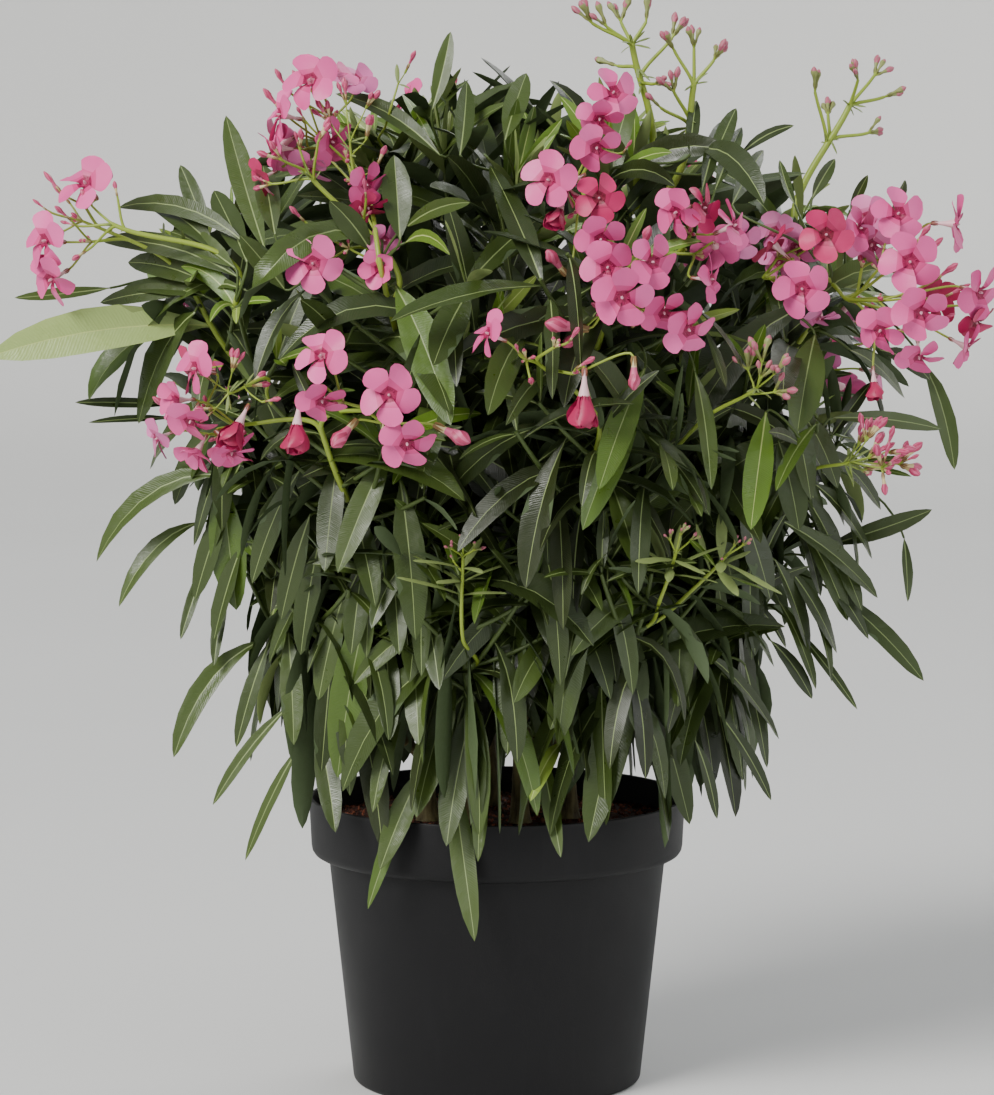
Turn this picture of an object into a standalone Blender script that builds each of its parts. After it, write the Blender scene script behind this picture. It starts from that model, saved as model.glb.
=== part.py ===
"""A potted oleander: a round nursery pot filled with potting mix, seven stems that rise from it, the boughs
that fork off them, and twenty-eight masses of foliage, each a leafy shoot with side twigs, whorls of narrow
leaves and, on some, a head of five-petalled blooms and spindle buds.

Metres, +Z up. The origin is the centre of the pot's flat underside, and -Y is the front.
Bearings are degrees round the pot: 0 is the front, 90 is the right (+X).
"""

import math
import random

import bpy
import bmesh
from mathutils import Matrix, Vector
from mathutils.bvhtree import BVHTree

UP = Vector((0, 0, 1))
GAP = 0.0003  # clear space between neighbouring solids

# --- pot and potting mix ------------------------------------------------------------------------------------
POT_HEIGHT = 0.198
RIM_RADIUS = 0.130
BODY_TOP_RADIUS = 0.1165
BASE_RADIUS = 0.0995
BAND_HEIGHT = 0.040
BAND_TAPER = 0.0020
BAND_ROUND = 0.0065
BASE_ROUND = 0.0032
WALL = 0.0028
TURNED_SIDES = 36
DRAIN_HOLES = 6
DRAIN_RADIUS = 0.006
DRAIN_CIRCLE = 0.076
SOIL_DEPTH_BELOW_RIM = 0.015
SOIL_LEVEL = POT_HEIGHT - SOIL_DEPTH_BELOW_RIM
SOIL_FLAT_RADIUS = 0.070
SOIL_DIP = 0.004

# --- stems and boughs ---------------------------------------------------------------------------------------
STEM_COUNT = 7
STEM_FIRST_BEARING = -20
STEM_FOOT_RADII = (0.050, 0.030)  # the feet stand alternately on two rings
STEM_RADIUS = 0.0052
STEM_FLARE = 1.45
STEM_SIDES = 7
STEM_STEPS = 6
BOUGH_RADIUS = 0.0038
LIMB_TIP_RADIUS = 0.0029
BOUGH_SIDES = 5
BOUGH_STEPS = 4
BOUGH_LOWEST_FORK = 0.035  # above the potting mix
BOUGH_SPACING = 0.017  # between the forks of one stem
BOUGH_RISE = 0.75  # how much lower than its end a bough forks off, per metre outwards

# --- masses of foliage: one row for each tier of shoots -----------------------------------------------------
# reach and height place a shoot's tip; lean is its slope above the horizontal; droop bends its leaves down.
TIERS = {
    "skirt": {
        "count": 9,
        "first": -8,
        "reach": 0.176,
        "height": 0.370,
        "lean": 62,
        "length": 0.105,
        "droop": 2.7,
    },
    "middle": {
        "count": 7,
        "first": -33,
        "reach": 0.210,
        "height": 0.468,
        "lean": 52,
        "length": 0.120,
        "droop": 2.0,
    },
    "upper": {
        "count": 8,
        "first": -22,
        "reach": 0.200,
        "height": 0.572,
        "lean": 52,
        "length": 0.130,
        "droop": 1.3,
    },
    "crown": {
        "count": 4,
        "first": 60,
        "reach": 0.070,
        "height": 0.635,
        "lean": 78,
        "length": 0.130,
        "droop": 0.6,
    },
}
# A shoot that stands out of its tier: further out and higher, in metres.
STANDS_OUT = {
    "skirt_2": (0.014, 0.000),
    "skirt_3": (0.022, 0.000),
    "middle_3": (0.028, -0.014),
    "middle_7": (-0.012, 0.000),
    "upper_3": (0.040, -0.015),
    "upper_4": (0.008, 0.010),
    "upper_8": (0.022, -0.016),
    "crown_1": (0.035, -0.012),
    "crown_3": (-0.010, 0.012),
}
# A leaf longer than its neighbours: its shoot, how far up it the leaf grows, and where its tip lies.
LONG_LEAVES = (("upper_8", 0.45, (-0.337, -0.100, 0.508)),)
TWIG_SIDES = 3
TWIG_STEPS = 4
TWIG_TIP_RADIUS = 0.0024
SIDE_TWIGS = ((0.28, 42), (0.42, -42))  # where each leaves the shoot, and its swing to the side in degrees
SIDE_TWIG_LENGTH = 0.74

# --- leaves -------------------------------------------------------------------------------------------------
LEAF_LENGTH = 0.128
LEAF_WIDTH = 0.245  # share of the length
LEAF_KEEL = 0.0024  # depth at the widest section
LEAF_SUNK = 0.0011  # how far past its twig's middle a leaf's foot lies
LEAF_WIDEST = 0.45
LEAF_STEPS = 12
BLADE_START = 0.035  # share of a leaf that may touch its whorl
BLADE_FREE = 0.10  # share of a leaf that may touch its twig
LEAVES_PER_WHORL = 3
WHORLS = {"main": 7, "side": 5}
WHORL_SPACING = (0.006, 0.019)  # at the tip of a twig, and at its foot
LEAF_ANGLES = (20, 84)  # from the twig, youngest and oldest
YOUNG_LEAF = 0.42  # length of the youngest leaves, as a share of the full length
LEAVES_PER_MASS = 15
OWN_SPACE_MARGIN = 0.024
LEAF_CLEARANCE = 0.0005
CROWN_CENTRE = Vector((0.0, 0.0, 0.43))
RIM_CLEARANCE = 0.007
LOWEST_LEAF = 0.085

# --- heads of blossom ---------------------------------------------------------------------------------------
BLOOM_RADIUS = 0.0215
BLOOM_NOTCH = 0.62  # radius between two petals, as a share of the bloom's radius
BLOOM_DISH = 0.004
BLOOM_THICKNESS = 0.0028
PETALS = 5
BUD_LENGTH = 0.017
BUD_RADIUS = 0.0024
PEDUNCLE_RADIUS = 0.0027
PEDICEL_RADIUS = 0.0009
TUBE_RADIUS = 0.0026
GOLDEN_ANGLE = math.pi * (3 - math.sqrt(5))
# shoot, centre of the head, half its width, height and depth, blooms, buds
HEADS = (
    ("upper_8", (-0.294, -0.100, 0.586), (0.024, 0.036, 0.016), 5, 2),
    ("upper_1", (-0.129, -0.120, 0.668), (0.030, 0.036, 0.026), 5, 2),
    ("upper_1", (-0.104, -0.180, 0.600), (0.034, 0.034, 0.020), 2, 1),
    ("middle_1", (-0.193, -0.200, 0.476), (0.030, 0.030, 0.026), 4, 1),
    ("middle_1", (-0.089, -0.258, 0.490), (0.040, 0.030, 0.018), 3, 1),
    ("upper_2", (0.063, -0.190, 0.645), (0.022, 0.042, 0.018), 4, 0),
    ("upper_2", (0.090, -0.232, 0.560), (0.038, 0.036, 0.024), 5, 0),
    ("upper_2", (0.138, -0.190, 0.592), (0.024, 0.026, 0.018), 2, 0),
    ("middle_2", (0.027, -0.268, 0.522), (0.036, 0.026, 0.012), 2, 1),
    ("upper_3", (0.274, -0.130, 0.562), (0.054, 0.048, 0.034), 9, 1),
    ("upper_3", (0.199, -0.140, 0.572), (0.028, 0.026, 0.018), 2, 0),
    ("crown_1", (0.084, -0.050, 0.733), (0.030, 0.016, 0.016), 0, 5),
    ("crown_1", (0.137, -0.030, 0.706), (0.018, 0.018, 0.014), 0, 4),
    ("upper_4", (0.250, 0.010, 0.673), (0.028, 0.028, 0.020), 0, 5),
    ("middle_3", (0.167, -0.215, 0.497), (0.020, 0.018, 0.014), 0, 3),
    ("middle_3", (0.247, -0.140, 0.442), (0.026, 0.018, 0.014), 0, 3),
    ("skirt_1", (-0.022, -0.212, 0.394), (0.008, 0.008, 0.006), 0, 2),
    ("skirt_2", (0.118, -0.202, 0.399), (0.012, 0.010, 0.008), 0, 3),
    ("upper_5", (0.125, 0.215, 0.640), (0.044, 0.040, 0.030), 3, 1),
    ("upper_7", (-0.205, 0.105, 0.585), (0.036, 0.030, 0.030), 3, 1),
    ("middle_4", (0.250, 0.150, 0.500), (0.036, 0.034, 0.026), 3, 0),
    ("middle_6", (-0.205, 0.205, 0.505), (0.038, 0.034, 0.026), 3, 0),
    ("crown_3", (-0.045, 0.050, 0.712), (0.022, 0.016, 0.016), 0, 3),
)
HEAD_CORE_DEPTH = 0.030  # how far behind the middle of the blooms their stalks part
DOME_EDGE = math.radians(105)  # how far round a head its blooms are dealt

COLOURS = {
    "pot_plastic": ((0.022, 0.022, 0.023), 0.55),
    "potting_mix": ((0.085, 0.035, 0.022), 0.95),
    "stem_bark": ((0.15, 0.13, 0.06), 0.8),
    "foliage": ((0.050, 0.110, 0.035), 0.4),
}


# --- small geometry -----------------------------------------------------------------------------------------
def outward(bearing):
    """The level direction away from the pot's axis at a bearing in degrees."""
    angle = math.radians(bearing)
    return Vector((math.sin(angle), -math.cos(angle), 0))


def sloped(bearing, lean):
    """A direction that rises at lean degrees above the horizontal."""
    angle = math.radians(lean)
    return outward(bearing) * math.cos(angle) + UP * math.sin(angle)


def across(direction, hint=UP):
    """A unit vector at right angles to direction, level where it can be."""
    side = direction.cross(hint)
    if side.length < 1e-4:
        side = direction.cross(Vector((1, 0, 0)))
    return side.normalized()


def smooth_path(start, start_direction, end, end_direction, steps):
    """Points of a Hermite curve from start to end."""
    pull = (end - start).length
    points = []
    for i in range(steps + 1):
        t = i / steps
        a = 2 * t**3 - 3 * t**2 + 1
        b = t**3 - 2 * t**2 + t
        c = -2 * t**3 + 3 * t**2
        d = t**3 - t**2
        points.append(a * start + b * pull * start_direction + c * end + d * pull * end_direction)
    return points


def point_on(path, share):
    """The point and the direction at a share of the way along a path's steps."""
    place = min(max(share, 0), 0.9999) * (len(path) - 1)
    i = int(place)
    step = path[i + 1] - path[i]
    return path[i] + step * (place - i), step.normalized()


def tube(path, radii, sides, start=None, end=None):
    """Vertices and faces of a closed tapering tube, with its ends cut square to start and end or to its path."""
    verts, faces = [], []
    last = len(path) - 1
    directions = [(path[min(i + 1, last)] - path[max(i - 1, 0)]).normalized() for i in range(last + 1)]
    directions[0] = start or directions[0]
    directions[last] = end or directions[last]
    side = across((path[1] - path[0]).normalized())
    for i, (point, direction) in enumerate(zip(path, directions)):
        side = (side - direction * side.dot(direction)).normalized()
        other = direction.cross(side)
        for k in range(sides):
            turn = 2 * math.pi * k / sides
            verts.append(point + radii[i] * (side * math.cos(turn) + other * math.sin(turn)))
    for i in range(last):
        for k in range(sides):
            n = (k + 1) % sides
            faces.append((i * sides + k, i * sides + n, (i + 1) * sides + n, (i + 1) * sides + k))
    faces.append(tuple(reversed(range(sides))))
    faces.append(tuple(last * sides + k for k in range(sides)))
    return verts, faces


def tapering(start, end, count, flare=1.0):
    """Radii along a limb, from start to end, with its first one widened by flare."""
    radii = [start + (end - start) * i / (count - 1) for i in range(count)]
    radii[0] *= flare
    return radii


def turned(profile, sides):
    """Vertices and faces of a solid of revolution; its profile runs from axis to axis, bottom first."""
    rings = profile[1:-1]
    verts = [Vector((0, 0, profile[0][1]))]
    for radius, height in rings:
        for k in range(sides):
            turn = 2 * math.pi * k / sides
            verts.append(Vector((radius * math.cos(turn), radius * math.sin(turn), height)))
    verts.append(Vector((0, 0, profile[-1][1])))
    faces = []
    top, last = len(verts) - 1, 1 + (len(rings) - 1) * sides
    for k in range(sides):
        n = (k + 1) % sides
        faces.append((0, 1 + n, 1 + k))
        for i in range(len(rings) - 1):
            a = 1 + i * sides
            faces.append((a + k, a + n, a + sides + n, a + sides + k))
        faces.append((last + k, last + n, top))
    return verts, faces


# --- objects ------------------------------------------------------------------------------------------------
def clear_scene():
    for obj in list(bpy.data.objects):
        bpy.data.objects.remove(obj, do_unlink=True)


def material(name):
    colour, roughness = COLOURS[name]
    made = bpy.data.materials.new(name)
    made.use_nodes = True
    shader = made.node_tree.nodes["Principled BSDF"]
    shader.inputs["Base Color"].default_value = (*colour, 1)
    shader.inputs["Roughness"].default_value = roughness
    made.diffuse_color = (*colour, 1)
    return made


def add_object(name, shape, finish=None, collection=None):
    """Links a new object made from (vertices, faces), in triangles that face outwards."""
    mesh = bpy.data.meshes.new(name)
    mesh.from_pydata([tuple(v) for v in shape[0]], [], shape[1])
    work = bmesh.new()
    work.from_mesh(mesh)
    bmesh.ops.triangulate(work, faces=work.faces)
    bmesh.ops.recalc_face_normals(work, faces=work.faces)
    work.to_mesh(mesh)
    work.free()
    if finish:
        mesh.materials.append(finish)
    obj = bpy.data.objects.new(name, mesh)
    (collection or bpy.context.scene.collection).objects.link(obj)
    return obj


def largest_body(mesh):
    """Cuts a mesh into triangles, without pairs that lie back to back, and keeps its largest closed surface:
    hollows that fusing sealed are filled, and loose scraps are dropped. Returns True if it is whole."""
    work = bmesh.new()
    work.from_mesh(mesh)
    bmesh.ops.triangulate(work, faces=work.faces, ngon_method="EAR_CLIP")
    by_corners = {}
    for face in work.faces:
        by_corners.setdefault(frozenset(vert.index for vert in face.verts), []).append(face)
    doubled = [face for faces in by_corners.values() if len(faces) > 1 for face in faces]
    bmesh.ops.delete(work, geom=doubled, context="FACES")
    left, groups = set(work.faces), []
    while left:
        group, front = [], [left.pop()]
        while front:
            face = front.pop()
            group.append(face)
            for edge in face.edges:
                for other in edge.link_faces if len(edge.link_faces) == 2 else ():
                    if other in left:
                        left.discard(other)
                        front.append(other)
        groups.append(group)
    groups.sort(key=len)
    for group in groups[:-1]:
        bmesh.ops.delete(work, geom=group, context="FACES")
    whole = all(edge.is_manifold for edge in work.edges)
    work.to_mesh(mesh)
    work.free()
    return whole


def joined(obj, operation, others, solver="EXACT"):
    """Applies one Boolean with every object in a collection of others, and removes them."""
    tools = bpy.data.collections.new("tools")
    bpy.context.scene.collection.children.link(tools)
    for other in others:
        tools.objects.link(other)
        bpy.context.scene.collection.objects.unlink(other)
    modifier = obj.modifiers.new(operation.lower(), "BOOLEAN")
    modifier.operation = operation
    modifier.operand_type = "COLLECTION"
    modifier.collection = tools
    modifier.solver = solver
    bpy.context.view_layer.update()
    evaluated = obj.evaluated_get(bpy.context.evaluated_depsgraph_get())
    result = bpy.data.meshes.new_from_object(evaluated)
    obj.modifiers.remove(modifier)
    obj.data = result
    for other in others:
        bpy.data.objects.remove(other, do_unlink=True)
    bpy.data.collections.remove(tools)
    return obj


def fuse(name, shapes, finish):
    """One solid from overlapping (vertices, faces) shapes, the first of which carries the rest. If they do
    not join into a whole surface, the last shape is left out."""
    while True:
        first = add_object(name, shapes[0], finish)
        others = [add_object(f"{name}_{i}", shape) for i, shape in enumerate(shapes[1:])]
        joined(first, "UNION", others, "MANIFOLD")
        if largest_body(first.data):
            return first
        bpy.data.objects.remove(first, do_unlink=True)
        shapes = shapes[:-1]


# --- pot and potting mix ------------------------------------------------------------------------------------
def inner_wall(height):
    """The radius of the pot's inner face below its band."""
    share = height / (POT_HEIGHT - BAND_HEIGHT)
    return BASE_RADIUS + (BODY_TOP_RADIUS - BASE_RADIUS) * share - WALL


def make_pot(finish):
    band = POT_HEIGHT - BAND_HEIGHT
    low_rim = RIM_RADIUS - BAND_TAPER
    outside = [
        (0, 0),
        (BASE_RADIUS - BASE_ROUND, 0),
        (BASE_RADIUS, BASE_ROUND),
        (BODY_TOP_RADIUS, band),
        (low_rim - BAND_ROUND, band),
        (low_rim, band + BAND_ROUND),
        (RIM_RADIUS, POT_HEIGHT),
    ]
    inside = [
        (RIM_RADIUS - WALL, POT_HEIGHT),
        (low_rim - WALL, band + BAND_ROUND),
        (inner_wall(band), band + WALL),
        (inner_wall(WALL + BASE_ROUND), WALL + BASE_ROUND),
        (inner_wall(WALL) - BASE_ROUND, WALL),
        (0, WALL),
    ]
    pot = add_object("pot", turned(outside + inside, TURNED_SIDES), finish)
    holes = []
    for k in range(DRAIN_HOLES):
        middle = outward(360 * k / DRAIN_HOLES + 22.5) * DRAIN_CIRCLE
        ends = [middle - UP * WALL, middle + UP * 2 * WALL]
        holes.append(add_object(f"drain_{k}", tube(ends, [DRAIN_RADIUS] * 2, 8)))
    return joined(pot, "DIFFERENCE", holes)


def make_potting_mix(finish):
    band = POT_HEIGHT - BAND_HEIGHT
    inner_band = RIM_RADIUS - BAND_TAPER - WALL - GAP
    profile = [
        (0, WALL + GAP),
        (inner_wall(WALL) - BASE_ROUND - GAP, WALL + GAP),
        (inner_wall(WALL + BASE_ROUND) - GAP, WALL + BASE_ROUND + GAP),
        (inner_wall(band) - GAP, band + WALL + GAP),
        (inner_band, band + BAND_ROUND + GAP),
        (inner_band, SOIL_LEVEL - SOIL_DIP),
        (SOIL_FLAT_RADIUS, SOIL_LEVEL),
        (0, SOIL_LEVEL),
    ]
    return add_object("potting_mix", turned(profile, TURNED_SIDES), finish)


# --- the plan of the plant ----------------------------------------------------------------------------------
def plan_masses():
    """One shoot for each mass, by tier: its name, bearing, foot, tip and the directions there."""
    masses = []
    for tier, size in TIERS.items():
        for i in range(size["count"]):
            name = f"{tier}_{i + 1}"
            further, higher = STANDS_OUT.get(name, (0, 0))
            bearing = size["first"] + 360 * i / size["count"]
            foot_direction = sloped(bearing, size["lean"] - 14)
            tip_direction = sloped(bearing, min(size["lean"] + 14, 88))
            tip = outward(bearing) * (size["reach"] + further) + UP * (size["height"] + higher)
            foot = tip - sloped(bearing, size["lean"]) * size["length"]
            masses.append(
                {
                    "name": name,
                    "tier": tier,
                    "bearing": bearing,
                    "foot": foot,
                    "tip": tip,
                    "foot_direction": foot_direction,
                    "tip_direction": tip_direction,
                }
            )
    return masses


def bearing_between(a, b):
    return abs((a - b + 180) % 360 - 180)


def plan_stems(masses):
    """Deals the masses to the stems by bearing. A stem runs on into its highest mass."""
    stems = []
    for k in range(STEM_COUNT):
        bearing = STEM_FIRST_BEARING + 360 * k / STEM_COUNT
        foot = outward(bearing) * STEM_FOOT_RADII[k % 2] + UP * (SOIL_LEVEL + GAP)
        stems.append({"bearing": bearing, "foot": foot, "masses": []})
    for mass in masses:
        nearest = min(stems, key=lambda stem: bearing_between(stem["bearing"], mass["bearing"]))
        nearest["masses"].append(mass)
    for stem in stems:
        stem["masses"].sort(key=lambda mass: -mass["tip"].z)
    return stems


def stem_path(stem):
    top = stem["masses"][0]
    return smooth_path(stem["foot"], UP, top["foot"], top["foot_direction"], STEM_STEPS)


def bough_path(path, mass, lowest):
    """A bough's line from the stem's own line, no lower than lowest, out to its mass."""
    foot = mass["foot"]
    run = Vector((foot.x - path[0].x, foot.y - path[0].y)).length
    fork_height = max(foot.z - BOUGH_RISE * run - 0.02, lowest)
    share = 0.0
    while share < 0.9 and point_on(path, share)[0].z < fork_height:
        share += 0.01
    start, stem_direction = point_on(path, share)
    away = (foot - start).normalized()
    leaving = (away + 0.6 * stem_direction).normalized()
    return smooth_path(start, leaving, foot, mass["foot_direction"], BOUGH_STEPS)


def plan_twigs(mass):
    """The shoot and its side twigs, as lines with a radius at each end."""
    foot = mass["foot"] + mass["foot_direction"] * GAP
    main = smooth_path(foot, mass["foot_direction"], mass["tip"], mass["tip_direction"], TWIG_STEPS)
    twigs = [{"kind": "main", "path": main, "radius": LIMB_TIP_RADIUS}]
    length = (mass["tip"] - foot).length * SIDE_TWIG_LENGTH
    chance = random.Random(mass["name"] + " twigs")
    for share, swing in SIDE_TWIGS:
        start, direction = point_on(main, share)
        swing += chance.uniform(-7, 7)
        hinge = outward(mass["bearing"]).cross(direction).cross(direction)
        leaving = Matrix.Rotation(math.radians(swing), 3, hinge) @ direction
        end_direction = (leaving + 0.5 * UP).normalized()
        end = start + (leaving + end_direction).normalized() * length
        path = smooth_path(start, leaving, end, end_direction, TWIG_STEPS - 1)
        twigs.append({"kind": "side", "path": path, "radius": 0.85 * LIMB_TIP_RADIUS})
    return twigs


# --- leaves -------------------------------------------------------------------------------------------------
def plan_leaves(mass, twig):
    """Whorls of three down a twig, each turned by half its spacing from the last; young leaves stand, old
    ones spread and hang."""
    chance = random.Random(f"{mass['name']} leaves {mass['twigs'].index(twig)}")
    count = WHORLS[twig["kind"]]
    path = twig["path"]
    total = sum((b - a).length for a, b in zip(path, path[1:]))
    phase = chance.uniform(0, 360)
    below_tip = 0.002
    leaves = []
    for j in range(count):
        age = j / (count - 1)
        share = 1 - below_tip / total
        below_tip += WHORL_SPACING[0] + (WHORL_SPACING[1] - WHORL_SPACING[0]) * age**0.6
        if share < 0.06:
            break
        root, direction = point_on(path, share)
        side = across(direction)
        for k in range(LEAVES_PER_WHORL):
            turn = phase + 360 * k / LEAVES_PER_WHORL + 180 * j / LEAVES_PER_WHORL + chance.uniform(-14, 14)
            spoke = Matrix.Rotation(math.radians(turn), 3, direction) @ side
            angle = LEAF_ANGLES[0] + (LEAF_ANGLES[1] - LEAF_ANGLES[0]) * age**0.6 + chance.uniform(-7, 7)
            angle = math.radians(angle)
            grown = min(1, YOUNG_LEAF + (1 - YOUNG_LEAF) * age * 2.4)
            leaves.append(
                {
                    "root": root,
                    "direction": direction * math.cos(angle) + spoke * math.sin(angle),
                    "twig_direction": direction,
                    "length": LEAF_LENGTH * grown * chance.uniform(0.86, 1.14),
                    "droop": TIERS[mass["tier"]]["droop"] * (0.25 + 0.95 * age) * chance.uniform(0.7, 1.3),
                    "roll": math.radians(chance.uniform(-22, 22)),
                    "age": age,
                }
            )
    return leaves


def long_leaf(mass, share, tip):
    """The leaf that runs from the shoot to a given tip, with a little sag."""
    root, direction = point_on(mass["twigs"][0]["path"], share)
    run = Vector(tip) - root
    return {
        "root": root,
        "direction": (run.normalized() + 0.3 * UP).normalized(),
        "twig_direction": direction,
        "length": run.length * 1.02,
        "droop": 0.6,
        "roll": 0.0,
        "age": 1.0,
    }


def leaf_line(leaf):
    """Points along a leaf that leaves its twig and bends under its own weight."""
    direction, step = leaf["direction"], leaf["length"] / LEAF_STEPS
    points = [leaf["root"]]
    for _ in range(LEAF_STEPS):
        direction = (direction - UP * leaf["droop"] / LEAF_STEPS).normalized()
        points.append(points[-1] + direction * step)
    return points


def leaf_section(leaf, line, share):
    """Three corners across a leaf: the two edges of its blade, and the keel under its midrib."""
    grown = share / LEAF_WIDEST
    middle, direction = point_on(line, share)
    side = leaf["twig_direction"].cross(leaf["direction"]).normalized()
    side = Matrix.Rotation(leaf["roll"] * grown, 3, direction) @ side
    side = (side - direction * side.dot(direction)).normalized()
    half = side * LEAF_WIDTH * leaf["length"] * grown / 2
    keel = side.cross(direction) * LEAF_KEEL * grown
    return [middle - half, middle + half, middle + keel]


def leaf_solid(leaf):
    """A keeled leaf of six faces: a pointed foot sunk in its twig, one wide section and a pointed tip."""
    line = leaf_line(leaf)
    verts = [line[0] - leaf["direction"] * LEAF_SUNK] + leaf_section(leaf, line, LEAF_WIDEST) + [line[-1]]
    return verts, [(0, 2, 1), (0, 3, 2), (0, 1, 3), (1, 2, 4), (2, 3, 4), (3, 1, 4)]


def blade_solid(leaf, start):
    """The leaf from a share of its length outwards."""
    line = leaf_line(leaf)
    verts = leaf_section(leaf, line, start) + leaf_section(leaf, line, LEAF_WIDEST) + [line[-1]]
    return verts, [(0, 2, 1), (0, 1, 4, 3), (1, 2, 5, 4), (2, 0, 3, 5), (3, 4, 6), (4, 5, 6), (5, 3, 6)]


def away_from_pot(points):
    """True if no point is in the pot, or so low that it would reach the floor."""
    for point in points:
        out = Vector((point.x, point.y)).length
        if point.z < LOWEST_LEAF:
            return False
        if point.z < POT_HEIGHT + RIM_CLEARANCE and out < RIM_RADIUS + RIM_CLEARANCE:
            return False
    return True


def distance_to_path(point, path):
    """The distance from a point to the nearest step of a path."""
    best = math.inf
    for a, b in zip(path, path[1:]):
        step = b - a
        share = min(max((point - a).dot(step) / step.length_squared, 0), 1)
        best = min(best, (point - a - step * share).length)
    return best


def in_own_space(points, mass, masses):
    """True if each point is nearly as near to the mass's own twigs as to any other's."""
    for point in points:
        own = min(distance_to_path(point, twig["path"]) for twig in mass["twigs"])
        for other in masses:
            if other is mass or (point - other["tip"]).length > own + 0.2:
                continue
            if min(distance_to_path(point, twig["path"]) for twig in other["twigs"]) < own - OWN_SPACE_MARGIN:
                return False
    return True


# --- heads of blossom ---------------------------------------------------------------------------------------
def plan_head(mass, centre, half, blooms, buds):
    """Blooms dealt evenly over the outer face of an ellipsoid, with buds among them, on stalks that leave the
    head's own stalk one above another."""
    centre = Vector(centre)
    facing = centre - CROWN_CENTRE
    facing.z *= 0.35
    facing.normalize()
    wide = across(facing)
    high = wide.cross(facing)
    core = centre - facing * (half[2] + HEAD_CORE_DEPTH) - UP * 0.3 * half[1]
    if not blooms:
        core = centre - (centre - mass["tip"]).normalized() * (half[1] + 0.014)
    start = mass["tip"] - mass["tip_direction"] * 0.005
    way_out = (centre - core).normalized()
    end = core + way_out * 0.7 * HEAD_CORE_DEPTH
    stalk = smooth_path(start, mass["tip_direction"], end, way_out, 3)
    flowers = []
    total = blooms + buds
    chance = random.Random(f"head {centre.x:.3f}")
    for i in range(total):
        spread = DOME_EDGE * math.sqrt((i + 0.5) / total)
        turn = i * GOLDEN_ANGLE + chance.uniform(-0.25, 0.25)
        local = (math.sin(spread) * math.cos(turn), math.sin(spread) * math.sin(turn), math.cos(spread))
        normal = wide * local[0] + high * local[1] + facing * local[2]
        place = centre + wide * local[0] * half[0] + high * local[1] * half[1] + facing * local[2] * half[2]
        is_bloom = (i + 1) * blooms // total > i * blooms // total
        looks = (0.62 * normal + 0.55 * facing + 0.10 * UP).normalized()
        root = point_on(stalk, 1 - 0.32 * spread / DOME_EDGE)[0]
        if not is_bloom:
            looks = ((place - root).normalized() + 0.35 * UP).normalized()
        flowers.append({"bloom": is_bloom, "root": root, "place": place, "facing": looks})
    return stalk, flowers


def bloom_solid(flower):
    """A stalk and tube that open into a shallow dish with five lobes, in one closed surface."""
    facing = flower["facing"]
    behind = flower["place"] - facing * (BLOOM_DISH + BLOOM_THICKNESS)
    verts = tube([flower["root"], behind], (PEDICEL_RADIUS, TUBE_RADIUS), 3)[0]
    faces = [(2, 1, 0)] + [(k, (k + 1) % 3, 3 + (k + 1) % 3, 3 + k) for k in range(3)]
    ring, rim, lobes = 3, 6, 2 * PETALS
    side = verts[ring] - behind
    side = (side - facing * side.dot(facing)).normalized()
    for k in range(lobes):
        radius = BLOOM_RADIUS * (1 if k % 2 == 0 else BLOOM_NOTCH)
        spoke = Matrix.Rotation(2 * math.pi * k / lobes, 3, facing) @ side
        verts.append(flower["place"] + spoke * radius)
    verts.append(flower["place"] - facing * BLOOM_DISH)
    for k in range(lobes):
        n = (k + 1) % lobes
        near, far = round(3 * k / lobes) % 3, round(3 * n / lobes) % 3
        faces.append((rim + k, rim + n, rim + lobes))
        faces.append((rim + n, rim + k, ring + near))
        if near != far:
            faces.append((rim + n, ring + near, ring + far))
    return verts, faces


def bud_solid(flower):
    """A stalk that swells into a pointed bud, in one closed surface."""
    belly = flower["place"] + flower["facing"] * 0.1 * BUD_LENGTH
    verts = tube([flower["root"], belly], (PEDICEL_RADIUS, BUD_RADIUS), 3)[0]
    verts.append(flower["place"] + flower["facing"] * 0.6 * BUD_LENGTH)
    faces = [(2, 1, 0)]
    for k in range(3):
        n = (k + 1) % 3
        faces += [(k, n, 3 + n, 3 + k), (3 + k, 3 + n, 6)]
    return verts, faces


# --- placing without touching -------------------------------------------------------------------------------
class Placed:
    """What is already placed, with the node that each shape belongs to, so that a new one can be tested."""

    def __init__(self):
        self.entries = []

    def add(self, node, shape):
        low, high = box_of(shape[0])
        self.entries.append((node, low, high, tree_of(shape)))

    def hits(self, shape, skip=()):
        low, high = box_of(shape[0])
        tree = tree_of(shape)
        for node, other_low, other_high, other in self.entries:
            if node in skip:
                continue
            if any(low[i] > other_high[i] or high[i] < other_low[i] for i in range(3)):
                continue
            if tree.overlap(other):
                return True
        return False


def box_of(points):
    low = [min(p[i] for p in points) - LEAF_CLEARANCE for i in range(3)]
    high = [max(p[i] for p in points) + LEAF_CLEARANCE for i in range(3)]
    return low, high


def tree_of(shape):
    return BVHTree.FromPolygons([tuple(v) for v in shape[0]], shape[1], epsilon=LEAF_CLEARANCE)


def mesh_shape(obj):
    return [v.co.copy() for v in obj.data.vertices], [tuple(p.vertices) for p in obj.data.polygons]


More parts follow.
